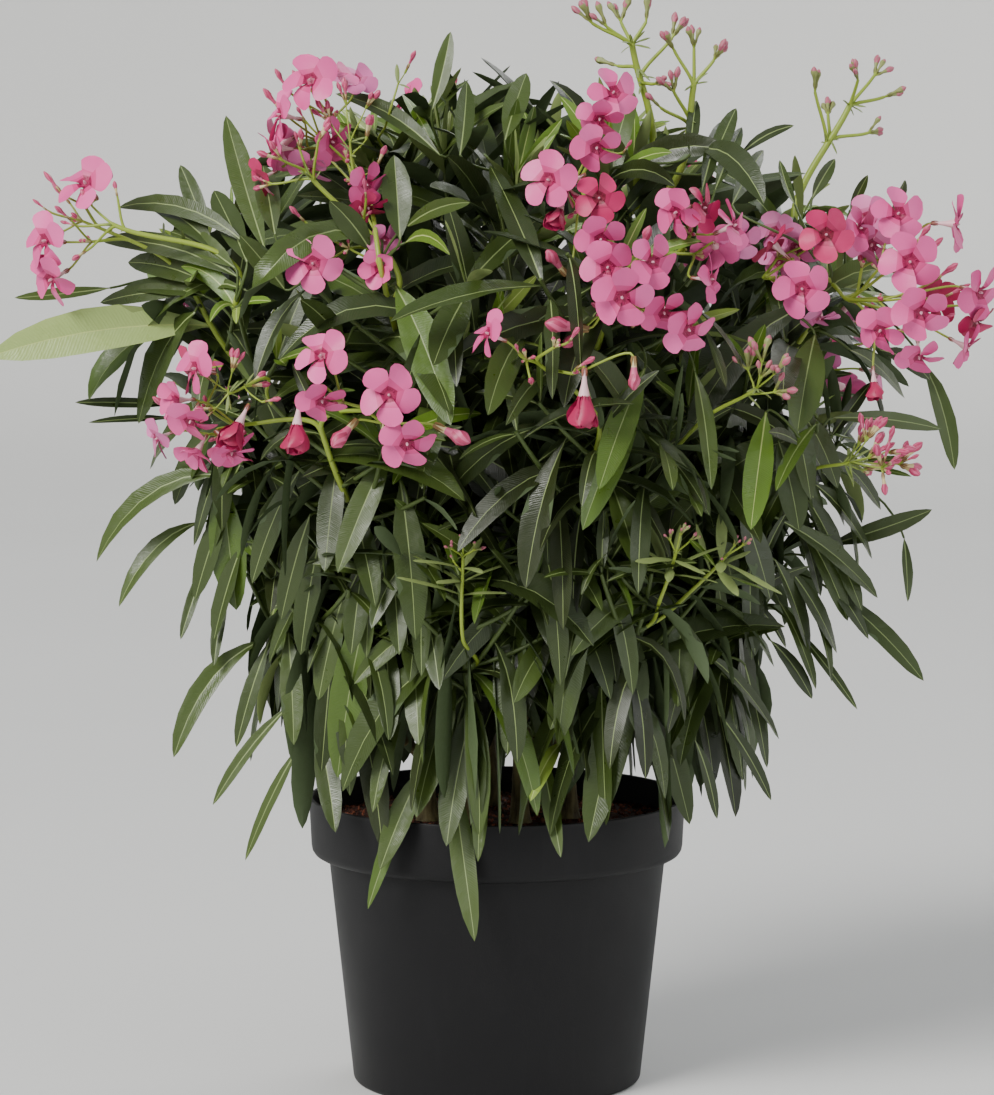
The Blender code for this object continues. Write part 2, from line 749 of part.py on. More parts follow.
# --- building the plant -------------------------------------------------------------------------------------
def make_limbs(stems, finish, placed):
    """Each stem in one piece, and each bough cut clear of its stem."""
    for k, stem in enumerate(stems):
        path = stem_path(stem)
        radii = tapering(STEM_RADIUS, LIMB_TIP_RADIUS, len(path), STEM_FLARE)
        shape = tube(path, radii, STEM_SIDES, UP, stem["masses"][0]["foot_direction"])
        add_object(f"stem_{k + 1}", shape, finish)
        placed.add("limb", shape)
        lowest = SOIL_LEVEL + BOUGH_LOWEST_FORK
        for mass in reversed(stem["masses"][1:]):
            line = bough_path(path, mass, lowest)
            lowest = line[0].z + BOUGH_SPACING
            bough_radii = tapering(BOUGH_RADIUS, LIMB_TIP_RADIUS, len(line))
            shape = tube(line, bough_radii, BOUGH_SIDES, end=mass["foot_direction"])
            bough = add_object(f"bough_{mass['name']}", shape, finish)
            sleeve = tube(path, [r + 2 * GAP for r in radii], STEM_SIDES)
            joined(bough, "DIFFERENCE", [add_object("sleeve", sleeve)])
            largest_body(bough.data)
            placed.add("limb", mesh_shape(bough))


def grow_twigs(masses, placed):
    """Each shoot, then the side twigs that touch nothing."""
    for mass in masses:
        mass["twigs"] = plan_twigs(mass)
        mass["shapes"] = []
    for mass in masses:
        kept = []
        for twig in mass["twigs"]:
            radii = tapering(twig["radius"], TWIG_TIP_RADIUS, len(twig["path"]))
            start = mass["foot_direction"] if twig["kind"] == "main" else None
            shape = tube(twig["path"], radii, TWIG_SIDES, start)
            if twig["kind"] == "side" and placed.hits(shape, skip=(mass["name"],)):
                continue
            placed.add(mass["name"], shape)
            mass["shapes"].append(shape)
            kept.append(twig)
        mass["twigs"] = kept


def grow_heads(masses, placed):
    """Blooms and buds with their stalks, where they touch nothing but their own stalk."""
    by_name = {mass["name"]: mass for mass in masses}
    for name, centre, half, blooms, buds in HEADS:
        mass = by_name[name]
        path, flowers = plan_head(mass, centre, half, blooms, buds)
        stalk = tube(path, tapering(PEDUNCLE_RADIUS, 0.9 * PEDUNCLE_RADIUS, len(path)), TWIG_SIDES)
        if placed.hits(stalk, skip=(name,)):
            continue
        mass["shapes"].append(stalk)
        for flower in flowers:
            shape = bloom_solid(flower) if flower["bloom"] else bud_solid(flower)
            free = dict(flower, root=flower["root"].lerp(flower["place"], 0.3))
            tested = bloom_solid(free) if flower["bloom"] else bud_solid(free)
            if placed.hits(tested):
                continue
            placed.add(name + " leaf", tested)
            mass["shapes"].append(shape)
        placed.add(name, stalk)


def grow_leaves(masses, placed):
    """Deals leaves in turn to every mass, outermost tips mostly first, leaving out what would touch others or
    leave its space."""
    for mass in masses:
        leaves = [leaf for twig in mass["twigs"] for leaf in plan_leaves(mass, twig)]
        chance = random.Random(mass["name"] + " order")
        for leaf in leaves:
            leaf["order"] = -(leaf_line(leaf)[-1] - CROWN_CENTRE).length * chance.uniform(0.72, 1)
        leaves.sort(key=lambda leaf: leaf["order"])
        long_ones = [long_leaf(mass, *rest) for name, *rest in LONG_LEAVES if name == mass["name"]]
        mass["waiting"] = long_ones + leaves
        mass["grown"] = 0
    busy = True
    while busy:
        busy = False
        for mass in masses:
            while mass["waiting"] and mass["grown"] < LEAVES_PER_MASS:
                leaf = mass["waiting"].pop(0)
                line = leaf_line(leaf)
                tests = line[4::2]
                if not away_from_pot(tests) or not in_own_space(tests, mass, masses):
                    continue
                whole, blade = leaf_solid(leaf), blade_solid(leaf, BLADE_START)
                if placed.hits(whole, skip=(mass["name"], mass["name"] + " leaf")):
                    continue
                if placed.hits(blade, skip=(mass["name"],)) or placed.hits(blade_solid(leaf, BLADE_FREE)):
                    continue
                placed.add(mass["name"] + " leaf", blade)
                mass["shapes"].append(whole)
                mass["grown"] += 1
                busy = True
                break


def main():
    clear_scene()
    finishes = {name: material(name) for name in COLOURS}
    pot = make_pot(finishes["pot_plastic"])
    mix = make_potting_mix(finishes["potting_mix"])
    placed = Placed()
    placed.add("pot", mesh_shape(pot))
    placed.add("potting_mix", mesh_shape(mix))
    masses = plan_masses()
    make_limbs(plan_stems(masses), finishes["stem_bark"], placed)
    grow_twigs(masses, placed)
    grow_heads(masses, placed)
    grow_leaves(masses, placed)
    for mass in masses:
        fuse(f"foliage_{mass['name']}", mass["shapes"], finishes["foliage"])


main()
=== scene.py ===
"""A potted oleander in bloom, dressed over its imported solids: a moulded nursery pot, potting mix with crumbs
of bark, stems and boughs with the bark's relief, and every mass of foliage grown on into twigs, leaves in
whorls of three, and heads of pinwheel blooms and spindle buds.

Metres, +Z up. The front is -Y. Bearings are degrees round the pot: 0 is the front, 90 is the right.
"""

import math
import random

import bmesh
import bpy
import numpy as np
from mathutils import Euler, Matrix, Vector, noise


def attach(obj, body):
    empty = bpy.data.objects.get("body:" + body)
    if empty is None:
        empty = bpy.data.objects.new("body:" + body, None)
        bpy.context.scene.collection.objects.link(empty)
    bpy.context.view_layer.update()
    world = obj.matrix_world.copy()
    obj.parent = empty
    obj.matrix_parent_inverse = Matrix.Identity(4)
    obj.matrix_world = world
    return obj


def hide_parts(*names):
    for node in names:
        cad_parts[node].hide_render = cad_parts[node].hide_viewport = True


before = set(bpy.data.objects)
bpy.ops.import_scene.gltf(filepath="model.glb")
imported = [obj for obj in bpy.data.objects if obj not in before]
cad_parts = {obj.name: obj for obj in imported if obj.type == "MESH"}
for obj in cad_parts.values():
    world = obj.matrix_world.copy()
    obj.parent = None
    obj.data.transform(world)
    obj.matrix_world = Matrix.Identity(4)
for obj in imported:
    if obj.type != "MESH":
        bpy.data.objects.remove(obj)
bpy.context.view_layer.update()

UP = Vector((0, 0, 1))
GAP = 0.0003
GOLDEN_ANGLE = math.pi * (3 - math.sqrt(5))
FULL_TURN = 6.3  # radians, rounded up, for turns by chance

# --- camera -------------------------------------------------------------------------------------------
VIEW_SIZE = (994, 1095)
CAMERA_PLACE = Vector((0, -3.0, 0.6853))
CAMERA_TILT = math.radians(84)
CAMERA_LENS = 144.2
CAMERA_SENSOR = 36
LIGHTS_AIM = Vector((0, 0, 0.40))
FLOOR_FLAT, FLOOR_BEND, FLOOR_TOP, FLOOR_THICK = 5.6, 1.5, 3.6, 0.012

# --- pot and potting mix ------------------------------------------------------------------------------
POT_HEIGHT = 0.198
RIM_RADIUS = 0.130
BODY_TOP_RADIUS = 0.1165
BASE_RADIUS = 0.0995
BAND_HEIGHT = 0.040
BAND_TAPER = 0.0020
BAND_ROUND = 0.0065
BASE_ROUND = 0.0032
LIP_ROUND = 0.0010
STEP_ROUND = 0.0012  # where the band meets the body
WALL = 0.0028
DRAIN_HOLES = 6
DRAIN_RADIUS = 0.006
DRAIN_CIRCLE = 0.076
DRAIN_FIRST_BEARING = 22.5
SOIL_LEVEL = 0.183
SOIL_FLAT_RADIUS = 0.070
SOIL_DIP = 0.004
POT_SIDES = 144
SOIL_SIDES, SOIL_RINGS = 120, 34
SOIL_LUMPS = ((55, 0.0024), (160, 0.0013))  # how close they are, and how high
SOIL_SETTLES = 0.0008
CRUMB_SHAPES = 5
CRUMBS = {"Density": 46000.0, "Smallest": 0.0009, "Largest": 0.0030, "Seed": 3}

# --- stems and boughs ---------------------------------------------------------------------------------
STEM_COUNT = 7
STEM_FIRST_BEARING = -20
STEM_FOOT_RADII = (0.050, 0.030)
STEM_RADIUS = 0.0052
STEM_FLARE = 1.45
BOUGH_RADIUS = 0.0038
LIMB_TIP_RADIUS = 0.0029
BOUGH_LOWEST_FORK = 0.035
BOUGH_SPACING = 0.017
BOUGH_FLARE = 1.15
BOUGH_RISE = 0.75  # how far a bough climbs for each unit that it runs out
BOUGH_LEAST_RISE = 0.02
BOUGH_HIGHEST_FORK = 0.9  # share of its stem
FORK_SEARCH_STEP = 0.01
LIMB_STEPS = 28
# piece: sides, spacing of the rings of points, relief and how close it is, spacing of the swellings, swelling
LIMB_LOOKS = {
    "stems": (14, 0.0025, 0.0011, 240.0, 0.031, 0.16),
    "boughs": (12, 0.003, 0.0007, 240.0, 0.031, 0.16),
    "twigs": (8, 0.003, 0.0003, 300.0, 0.012, 0.14),
    "flower_stalks": (8, 0.0035, 0.0003, 300.0, 0.5, 0.0),
}

# --- masses of foliage --------------------------------------------------------------------------------
# tier: count, first bearing, reach and height of the tip, lean, length
TIERS = {
    "skirt": (9, -8, 0.176, 0.370, 62, 0.105),
    "middle": (7, -33, 0.210, 0.468, 52, 0.120),
    "upper": (8, -22, 0.200, 0.572, 52, 0.130),
    "crown": (4, 60, 0.070, 0.635, 78, 0.130),
}
SHOOT_BEND = 14  # degrees that a shoot leans further at its foot, and stands up at its tip
STEEPEST_TIP = 88
# mass: how much further out and higher its tip is
STANDS_OUT = {
    "skirt_2": (0.014, 0.000), "skirt_3": (0.022, 0.000), "middle_3": (0.028, -0.014),
    "middle_7": (-0.012, 0.000), "upper_3": (0.040, -0.015), "upper_4": (0.008, 0.010),
    "upper_8": (0.022, -0.016), "crown_1": (0.035, -0.012), "crown_3": (-0.010, 0.012),
}
LONG_LEAVES = (("upper_8", 0.75, (-0.337, -0.100, 0.5150)),)  # mass, share of the shoot, tip
TWIG_STEPS = 4
FINE_TWIG_STEPS = 16  # of a twig's line as it is swept
SHOWN_SHOOT = 0.9  # share of a shoot that is there even where no leaf is
TWIG_TIP_RADIUS = 0.0013
# kind: its length as a share of the shoot's, its radius as a share of the shoot's, and where each leaves the
# shoot with its swing to the side
TWIGS = {
    "side": (0.74, 0.65, ((0.28, 42), (0.42, -42))),
    "fine": (0.50, 0.55, ((0.14, -58), (0.34, 76), (0.60, 64), (0.80, -60))),
}
SWING_SPREAD = 7
INNER_TWIG = 0.052
INNER_SIZES = (0.8, 1.2)
INNER_TURN = 137.5
INNER_SHARES = {"stem": (0.52, 0.64, 0.76, 0.88), "bough": (0.45, 0.62, 0.80, 0.95)}
BARE_STEM = 0.285  # no twig grows on the stems or boughs below this height

# --- leaves -------------------------------------------------------------------------------------------
LEAF_LENGTH = 0.120
LEAF_WIDTHS = (0.150, 0.205)  # share of the length
LEAF_STEPS = 12
LEAVES_PER_WHORL = 3
WHORLS = {"main": 9, "side": 7, "fine": 5, "inner": 5}
WHORL_SPACING = (0.006, 0.0175)  # between the youngest, and between the oldest
TOP_WHORL = 0.002  # below the twig's tip
LOWEST_WHORL = 0.06  # share of the twig
# tier: angle of the youngest and the oldest leaves from their twig, and how far they bend under their weight
HABITS = {
    "skirt": (46, 118, 1.60),
    "middle": (38, 108, 1.50),
    "upper": (26, 94, 1.20),
    "crown": (18, 82, 0.65),
}
YOUNG_LEAF = 0.42  # length of the youngest as a share of a grown leaf's
TURN_SPREAD, ANGLE_SPREAD, ROLL_SPREAD = 16, 12, 24
LENGTH_SIZES, DROOP_SIZES = (0.80, 1.12), (0.5, 1.5)
AGE_POWER = 0.6  # below 1, most of a twig's leaves are spread and well apart
OWN_SPACE_MARGIN = 0.040
CROWN_CENTRE = Vector((0.0, 0.0, 0.43))
RIM_CLEARANCE = 0.007
LOWEST_LEAF = 0.085
# height, how far out the tips of the leaves reach there, and how far that outline is set to the right
ENVELOPE = (
    (0.08, 0.148, 0.000), (0.16, 0.150, 0.002), (0.20, 0.162, 0.004), (0.28, 0.178, 0.012),
    (0.32, 0.190, 0.018), (0.37, 0.213, 0.020), (0.42, 0.230, 0.020), (0.47, 0.245, 0.020),
    (0.52, 0.258, 0.018), (0.57, 0.262, 0.016), (0.60, 0.236, 0.014), (0.63, 0.194, 0.012),
    (0.66, 0.136, 0.010), (0.69, 0.068, 0.008), (0.71, 0.014, 0.004), (0.72, 0.000, 0.000),
)
ENVELOPE_SPARE = (-0.012, 0.016)  # how far the tips end inside or outside that outline
ENVELOPE_TRIES = 4
TRY_SHORTER, TRY_LIMPER = 0.92, 0.35
FOOT_DEPTH = 0.72  # share of the crown's depth at which the feet of the leaves in plain sight are
AIMING_STEPS = 14
AIMED_REACH, AIMED_ROOM = 0.010, 0.013  # how close to a bloom's face and axis those leaves may come
ROOT_SHARES = (0.1, 0.25, 0.4, 0.55, 0.7, 0.85, 0.97)  # where on a twig a new twig or stalk may start
VIEW_STEP = 0.00063  # what one step across the view measures at the front of the plant
# leaves in plain sight: where the camera sees the tip and the foot, how far they bend, their width in steps
# across the view, their tone. The darker tones of the leaves on the right are partly painted shade, for the
# side turned from the key light.
AIMED_LEAVES = (
    # left, from the outline inwards
    (99, 564, 225, 475, 1.7, 26, 4), (119, 607, 200, 522, 1.5, 21, 4), (182, 640, 215, 550, 0.8, 14, 3),
    (212, 666, 228, 580, 0.6, 15, 3), (172, 757, 262, 640, 1.6, 26, 4), (239, 748, 270, 640, 0.9, 19, 3),
    (211, 804, 290, 705, 0.5, 15, 4), (247, 862, 300, 745, 0.6, 16, 4), (232, 610, 222, 475, 0.5, 41, 5),
    (255, 585, 300, 470, 1.0, 26, 3), (270, 665, 330, 560, 0.8, 28, 3), (296, 745, 288, 630, 0.4, 25, 4),
    (324, 572, 338, 455, 0.4, 28, 3), (342, 574, 392, 445, 0.6, 30, 4), (375, 607, 352, 500, 0.5, 26, 3),
    (337, 778, 372, 590, 0.9, 39, 5), (338, 832, 318, 725, 0.3, 26, 3), (370, 812, 405, 700, 1.0, 19, 4),
    (355, 685, 440, 620, 0.9, 22, 4),
    # over the pot
    (418, 818, 455, 680, 0.7, 37, 4), (443, 846, 475, 700, 0.6, 33, 3), (381, 870, 425, 765, 0.5, 27, 4),
    (370, 910, 428, 755, 0.6, 18, 5), (470, 942, 452, 770, 0.4, 27, 4), (478, 862, 482, 740, 0.3, 18, 4),
    (420, 640, 400, 480, 0.5, 34, 3), (440, 690, 425, 600, 0.4, 24, 3), (512, 702, 560, 632, 0.8, 28, 4),
    (550, 730, 600, 625, 0.6, 33, 3), (560, 858, 538, 740, 0.3, 19, 4), (530, 801, 562, 742, 0.8, 18, 7),
    (587, 842, 640, 650, 0.5, 40, 3), (570, 655, 660, 590, 0.9, 28, 4), (640, 570, 610, 480, 0.3, 27, 4),
    (677, 707, 682, 608, 0.4, 31, 3), (687, 825, 655, 700, 0.6, 27, 3), (720, 818, 695, 740, 0.6, 14, 2),
    # right
    # the darker tones here are partly painted shade on the side away from the key light
    (772, 800, 720, 715, 0.5, 15, 2), (780, 737, 700, 650, 0.6, 18, 2), (767, 768, 745, 665, 0.6, 20, 2),
    (857, 710, 792, 625, 0.3, 11, 3), (810, 700, 770, 640, 0.9, 17, 2), (832, 682, 790, 575, 2.2, 18, 3),
    (925, 680, 830, 590, 0.4, 26, 3), (877, 600, 780, 520, 0.5, 25, 3), (858, 576, 822, 472, 2.4, 18, 4),
    (931, 507, 828, 545, -0.2, 21, 3), (908, 602, 904, 538, 1.6, 13, 3), (712, 515, 640, 430, 0.7, 26, 3),
    (752, 530, 766, 412, 0.4, 31, 6), (714, 490, 695, 372, 1.0, 20, 4), (799, 432, 815, 335, 0.7, 39, 4),
    (942, 425, 832, 418, 0.2, 18, 4), (953, 470, 922, 362, 1.8, 22, 4),
    # upper right
    # the darker tones here are partly painted shade on the side away from the key light
    (905, 180, 893, 215, 0.1, 13, 3), (868, 175, 850, 210, 0.1, 11, 3), (834, 158, 812, 198, 0.2, 15, 3),
    (780, 160, 795, 205, -0.6, 11, 3), (794, 125, 740, 155, 0.7, 11, 2), (736, 108, 710, 170, 0.2, 19, 3),
    (694, 100, 690, 155, 0.2, 15, 2), (762, 205, 700, 150, 1.2, 30, 2),
    # middle of the front
    (582, 530, 642, 400, 0.6, 34, 5), (600, 490, 645, 368, 0.4, 31, 5), (487, 415, 525, 335, 1.0, 32, 4),
    (505, 425, 560, 370, 0.9, 19, 3), (455, 424, 395, 285, 0.5, 42, 5), (432, 365, 470, 290, 0.4, 34, 3),
    (470, 200, 405, 228, 0.5, 17, 4), (450, 255, 405, 243, 0.8, 14, 6), (395, 155, 400, 240, 0.1, 31, 3),
    (524, 72, 505, 140, 0.1, 25, 4), (453, 32, 432, 110, -0.3, 19, 4), (470, 82, 460, 155, -0.2, 21, 3),
    (335, 94, 440, 155, 0.6, 21, 3),
    # upper left
    (252, 315, 378, 240, 2.3, 30, 4), (228, 115, 265, 250, -0.3, 28, 4), (215, 190, 247, 262, 0.1, 28, 3),
    (182, 164, 208, 240, 0.2, 21, 3), (102, 238, 240, 278, 0.5, 24, 3), (118, 211, 245, 243, 0.9, 22, 3),
    (14, 296, 110, 288, -0.1, 15, 4), (100, 302, 192, 292, 0.3, 22, 3), (118, 408, 250, 292, 2.3, 25, 4),
    (88, 400, 155, 332, 1.3, 34, 5), (140, 425, 195, 312, 1.5, 45, 3), (75, 403, 175, 405, 0.1, 12, 2),
    (88, 421, 175, 418, 0.1, 9, 2),
    # filling the right
    # the darker tones here are partly painted shade on the side away from the key light
    (845, 525, 800, 440, 0.9, 26, 2), (872, 560, 812, 482, 0.8, 24, 2), (822, 595, 788, 500, 0.7, 28, 2),
    (846, 622, 800, 525, 0.8, 24, 3), (802, 530, 778, 440, 0.5, 31, 3), (838, 488, 800, 410, 0.8, 28, 3),
    (808, 655, 775, 560, 0.8, 26, 2), (868, 640, 812, 560, 0.6, 21, 2), (880, 512, 820, 450, 0.9, 24, 2),
    (905, 400, 850, 350, 0.7, 24, 3), (930, 380, 880, 350, 0.9, 21, 2), (770, 600, 740, 505, 0.6, 31, 2),
    (846, 580, 800, 490, 0.7, 25, 2), (864, 610, 812, 520, 0.7, 23, 3), (836, 655, 790, 570, 0.7, 24, 2),
    (812, 500, 790, 400, 0.6, 28, 3), (745, 128, 715, 190, 0.3, 17, 3), (722, 122, 702, 190, 0.2, 17, 2),
    (765, 152, 732, 205, 0.3, 18, 3), (640, 735, 628, 620, 0.5, 30, 3), (300, 655, 318, 545, 0.5, 27, 3),
    (318, 700, 345, 590, 0.6, 27, 4), (282, 620, 310, 515, 0.6, 25, 3), (352, 655, 365, 545, 0.4, 27, 3),
    (398, 655, 392, 545, 0.4, 25, 3), (420, 745, 412, 640, 0.4, 27, 4), (392, 740, 385, 630, 0.5, 26, 3),
    (322, 772, 332, 655, 0.4, 25, 2), (346, 766, 350, 645, 0.3, 25, 2), (905, 460, 862, 462, 0.2, 9, 5),
    (912, 476, 866, 468, 0.2, 8, 5), (826, 560, 806, 470, 0.5, 22, 3), (815, 690, 778, 600, 0.9, 18, 3),
    (845, 610, 806, 540, 0.9, 18, 3),
    # filling the left
    (125, 286, 205, 296, 0.3, 23, 3), (196, 600, 228, 500, 0.5, 26, 3), (213, 640, 242, 545, 0.5, 23, 3),
    (193, 545, 230, 440, 0.6, 26, 2), (150, 470, 215, 400, 1.2, 28, 3), (175, 505, 225, 420, 0.9, 31, 3),
    (205, 560, 240, 465, 0.8, 26, 3), (128, 262, 210, 285, 0.4, 28, 3), (150, 205, 215, 250, 0.6, 28, 3),
    (170, 232, 235, 268, 0.3, 26, 4), (262, 166, 275, 235, 0.2, 26, 3), (240, 235, 285, 290, 0.2, 24, 4),
    (330, 200, 370, 250, 0.5, 26, 3), (300, 300, 345, 345, 0.4, 24, 3),
)
# how far along the leaf, and its width there as a share of its widest
LEAF_OUTLINE = (
    (0.00, 0.10), (0.035, 0.12), (0.12, 0.40), (0.25, 0.74), (0.40, 0.95), (0.56, 1.00), (0.72, 0.90),
    (0.86, 0.64), (0.955, 0.29),
)
LEAF_MIDDLE = 0.52  # where a blade bends between its midrib and its edge
BLADE_SIDES = 7  # round a blade: edge, middle, both sides of the midrib, middle, edge, keel
KEEL = 0.0008
LEAF_WAVES, WAVE_CLOSENESS = (0.0, 0.13), (6, 15)  # of its edges
LEAF_FOLDS = (0.04, 0.40)  # how far the sides stand up from the midrib
LEAF_SWAY, LEAF_TWIST = 0.035, 0.45
RIB_HALF = (0.00052, 0.00018)  # half width of the pale midrib, at its foot and near its tip

# --- heads of blossom ---------------------------------------------------------------------------------
BLOOM_RADIUS = 0.0194
BLOOM_TUBE = 0.015
BLOOM_SIGHT, BLOOM_ROOM = 0.075, 0.021  # how far before a bloom, and round its axis, no leaf grows by rule
BLOOM_BACK = 0.012
BLOOM_HEART = 0.0095  # radius round its middle that no leaf hides from the front
PETALS = 5
PETAL_TILTS = (0.22, 0.40)  # to the side, like a pinwheel
PETAL_CUPS = (-0.10, 0.28)
PETAL_OPENINGS, PETAL_CURLS, PETAL_SIZES = (-0.16, 0.16), (-0.20, 0.35), (0.92, 1.08)
# how far along the petal, and half its width there as a share of the bloom's radius
PETAL_OUTLINE = (
    (0.00, 0.090), (0.18, 0.180), (0.36, 0.300), (0.53, 0.385), (0.69, 0.420), (0.83, 0.380), (0.94, 0.260),
    (1.00, 0.115),
)
# how far along the bud, and its width there as a share of its widest
BUD_OUTLINE = (
    (0, 0.30), (0.12, 0.36), (0.3, 0.42), (0.5, 0.64), (0.68, 1), (0.82, 0.88), (0.93, 0.50), (0.99, 0.14),
)
FURL_FROM = 0.4  # share of the bud from which its petals are furled
# how far the petals of each bloom stand up, and how far they curl back
BLOOM_OPENINGS = ((0.16, 0.34), (0.28, 0.40), (0.06, 0.14), (0.66, 0.25), (0.92, -0.72))
# of each bud: how fat it is, how far it is twisted, and the share from which it is pink
BUD_FURLS = (
    (0.105, 2.2, 0.40), (0.125, 2.6, 0.45), (0.165, 1.6, 0.62), (0.170, 1.2, 0.85), (0.200, 2.6, 0.35),
)
# kind of a bloom: its tones and the shapes that it is picked from
BLOOM_KINDS = {
    "open": ("rose", (0, 1, 2)),
    # the pale kind is a duller, more lilac copy of the rose tones: painted shade for blooms that stand in
    # shadow at the back of the heads
    "pale": ("pale", (0, 1, 2)),
    "coral": ("coral", (0, 1, 2)),
    "half": ("rose", (3,)),
    "bell": ("coral", (4,)),
}
FURLED_BUD = 4
FURLED_LENGTH = 0.028
BUD_LENGTHS = (0.011, 0.021)
SMALL_BUD_LENGTHS = (0.006, 0.011)
BLOOMS_PER_FORK, BUDS_PER_FORK = 3, 3
# pale, the painted-shade copy of the rose bloom, is dealt here among the others too
DEALT_KINDS = ("open", "open", "open", "half", "coral", "pale")
DEALT_SIZES = (0.85, 1.05)
DEALT_TURN_SPREAD = 0.25
BEHIND_PLACED = (95, 150)  # degrees from a head's facing, where its placed blooms are on its face
PEDUNCLE_RADIUS = 0.0021
BRANCH_RADIUS = 0.00115
PEDICEL_RADIUS = 0.0008
STALK_STEPS, BRANCH_STEPS = 14, 6
YOUNG_TRUSS = 0.01  # a truss with shorter buds still has whorls of bracts below its buds
YOUNG_BRACTS = 9
BRACT_LENGTHS = (0.030, 0.048)
TRUSS_FROM_BELOW = 3.0  # how much a truss favours a root below its foot
HEAD_CORE_DEPTH = 0.030
HEAD_FACES_UP = 0.35  # heads look out from the crown more than up
STALK_FORKS = 0.80, 0.19  # share of a head's stalk at which its forks start, and over which they spread
BRANCH_SHARE = 0.48  # of the way from the stalk to a fork's flowers
DOME_EDGE = math.radians(105)
# head: shoot, centre, half its width, height and depth, blooms and buds dealt by rule
HEADS = {
    "far_left": ("upper_8", (-0.288, -0.100, 0.603), (0.026, 0.032, 0.016), 0, 9),
    "left_top": ("upper_1", (-0.129, -0.120, 0.668), (0.030, 0.036, 0.026), 3, 16),
    "left_hero": ("upper_1", (-0.104, -0.180, 0.600), (0.034, 0.034, 0.020), 0, 2),
    "left": ("middle_1", (-0.193, -0.200, 0.476), (0.034, 0.030, 0.022), 1, 12),
    "left_front": ("middle_1", (-0.089, -0.258, 0.490), (0.044, 0.030, 0.018), 0, 6),
    "centre_top": ("upper_2", (0.063, -0.190, 0.645), (0.026, 0.042, 0.018), 1, 5),
    "centre": ("upper_2", (0.090, -0.232, 0.560), (0.042, 0.036, 0.020), 0, 8),
    "centre_right": ("upper_2", (0.138, -0.190, 0.592), (0.028, 0.026, 0.018), 1, 4),
    "centre_low": ("middle_2", (0.027, -0.268, 0.522), (0.036, 0.026, 0.012), 0, 6),
    "right": ("upper_3", (0.274, -0.130, 0.562), (0.054, 0.048, 0.034), 2, 11),
    "right_inner": ("upper_3", (0.199, -0.140, 0.572), (0.030, 0.026, 0.018), 1, 3),
    "back_right": ("upper_5", (0.125, 0.215, 0.592), (0.044, 0.040, 0.030), 9, 8),
    "back_left": ("upper_7", (-0.160, 0.170, 0.560), (0.036, 0.030, 0.030), 8, 7),
    "side_right": ("middle_4", (0.250, 0.150, 0.500), (0.036, 0.034, 0.026), 7, 6),
    "side_left": ("middle_6", (-0.205, 0.205, 0.505), (0.038, 0.034, 0.026), 8, 6),
    "back_top": ("crown_3", (-0.045, 0.060, 0.680), (0.022, 0.014, 0.016), 1, 4),
}
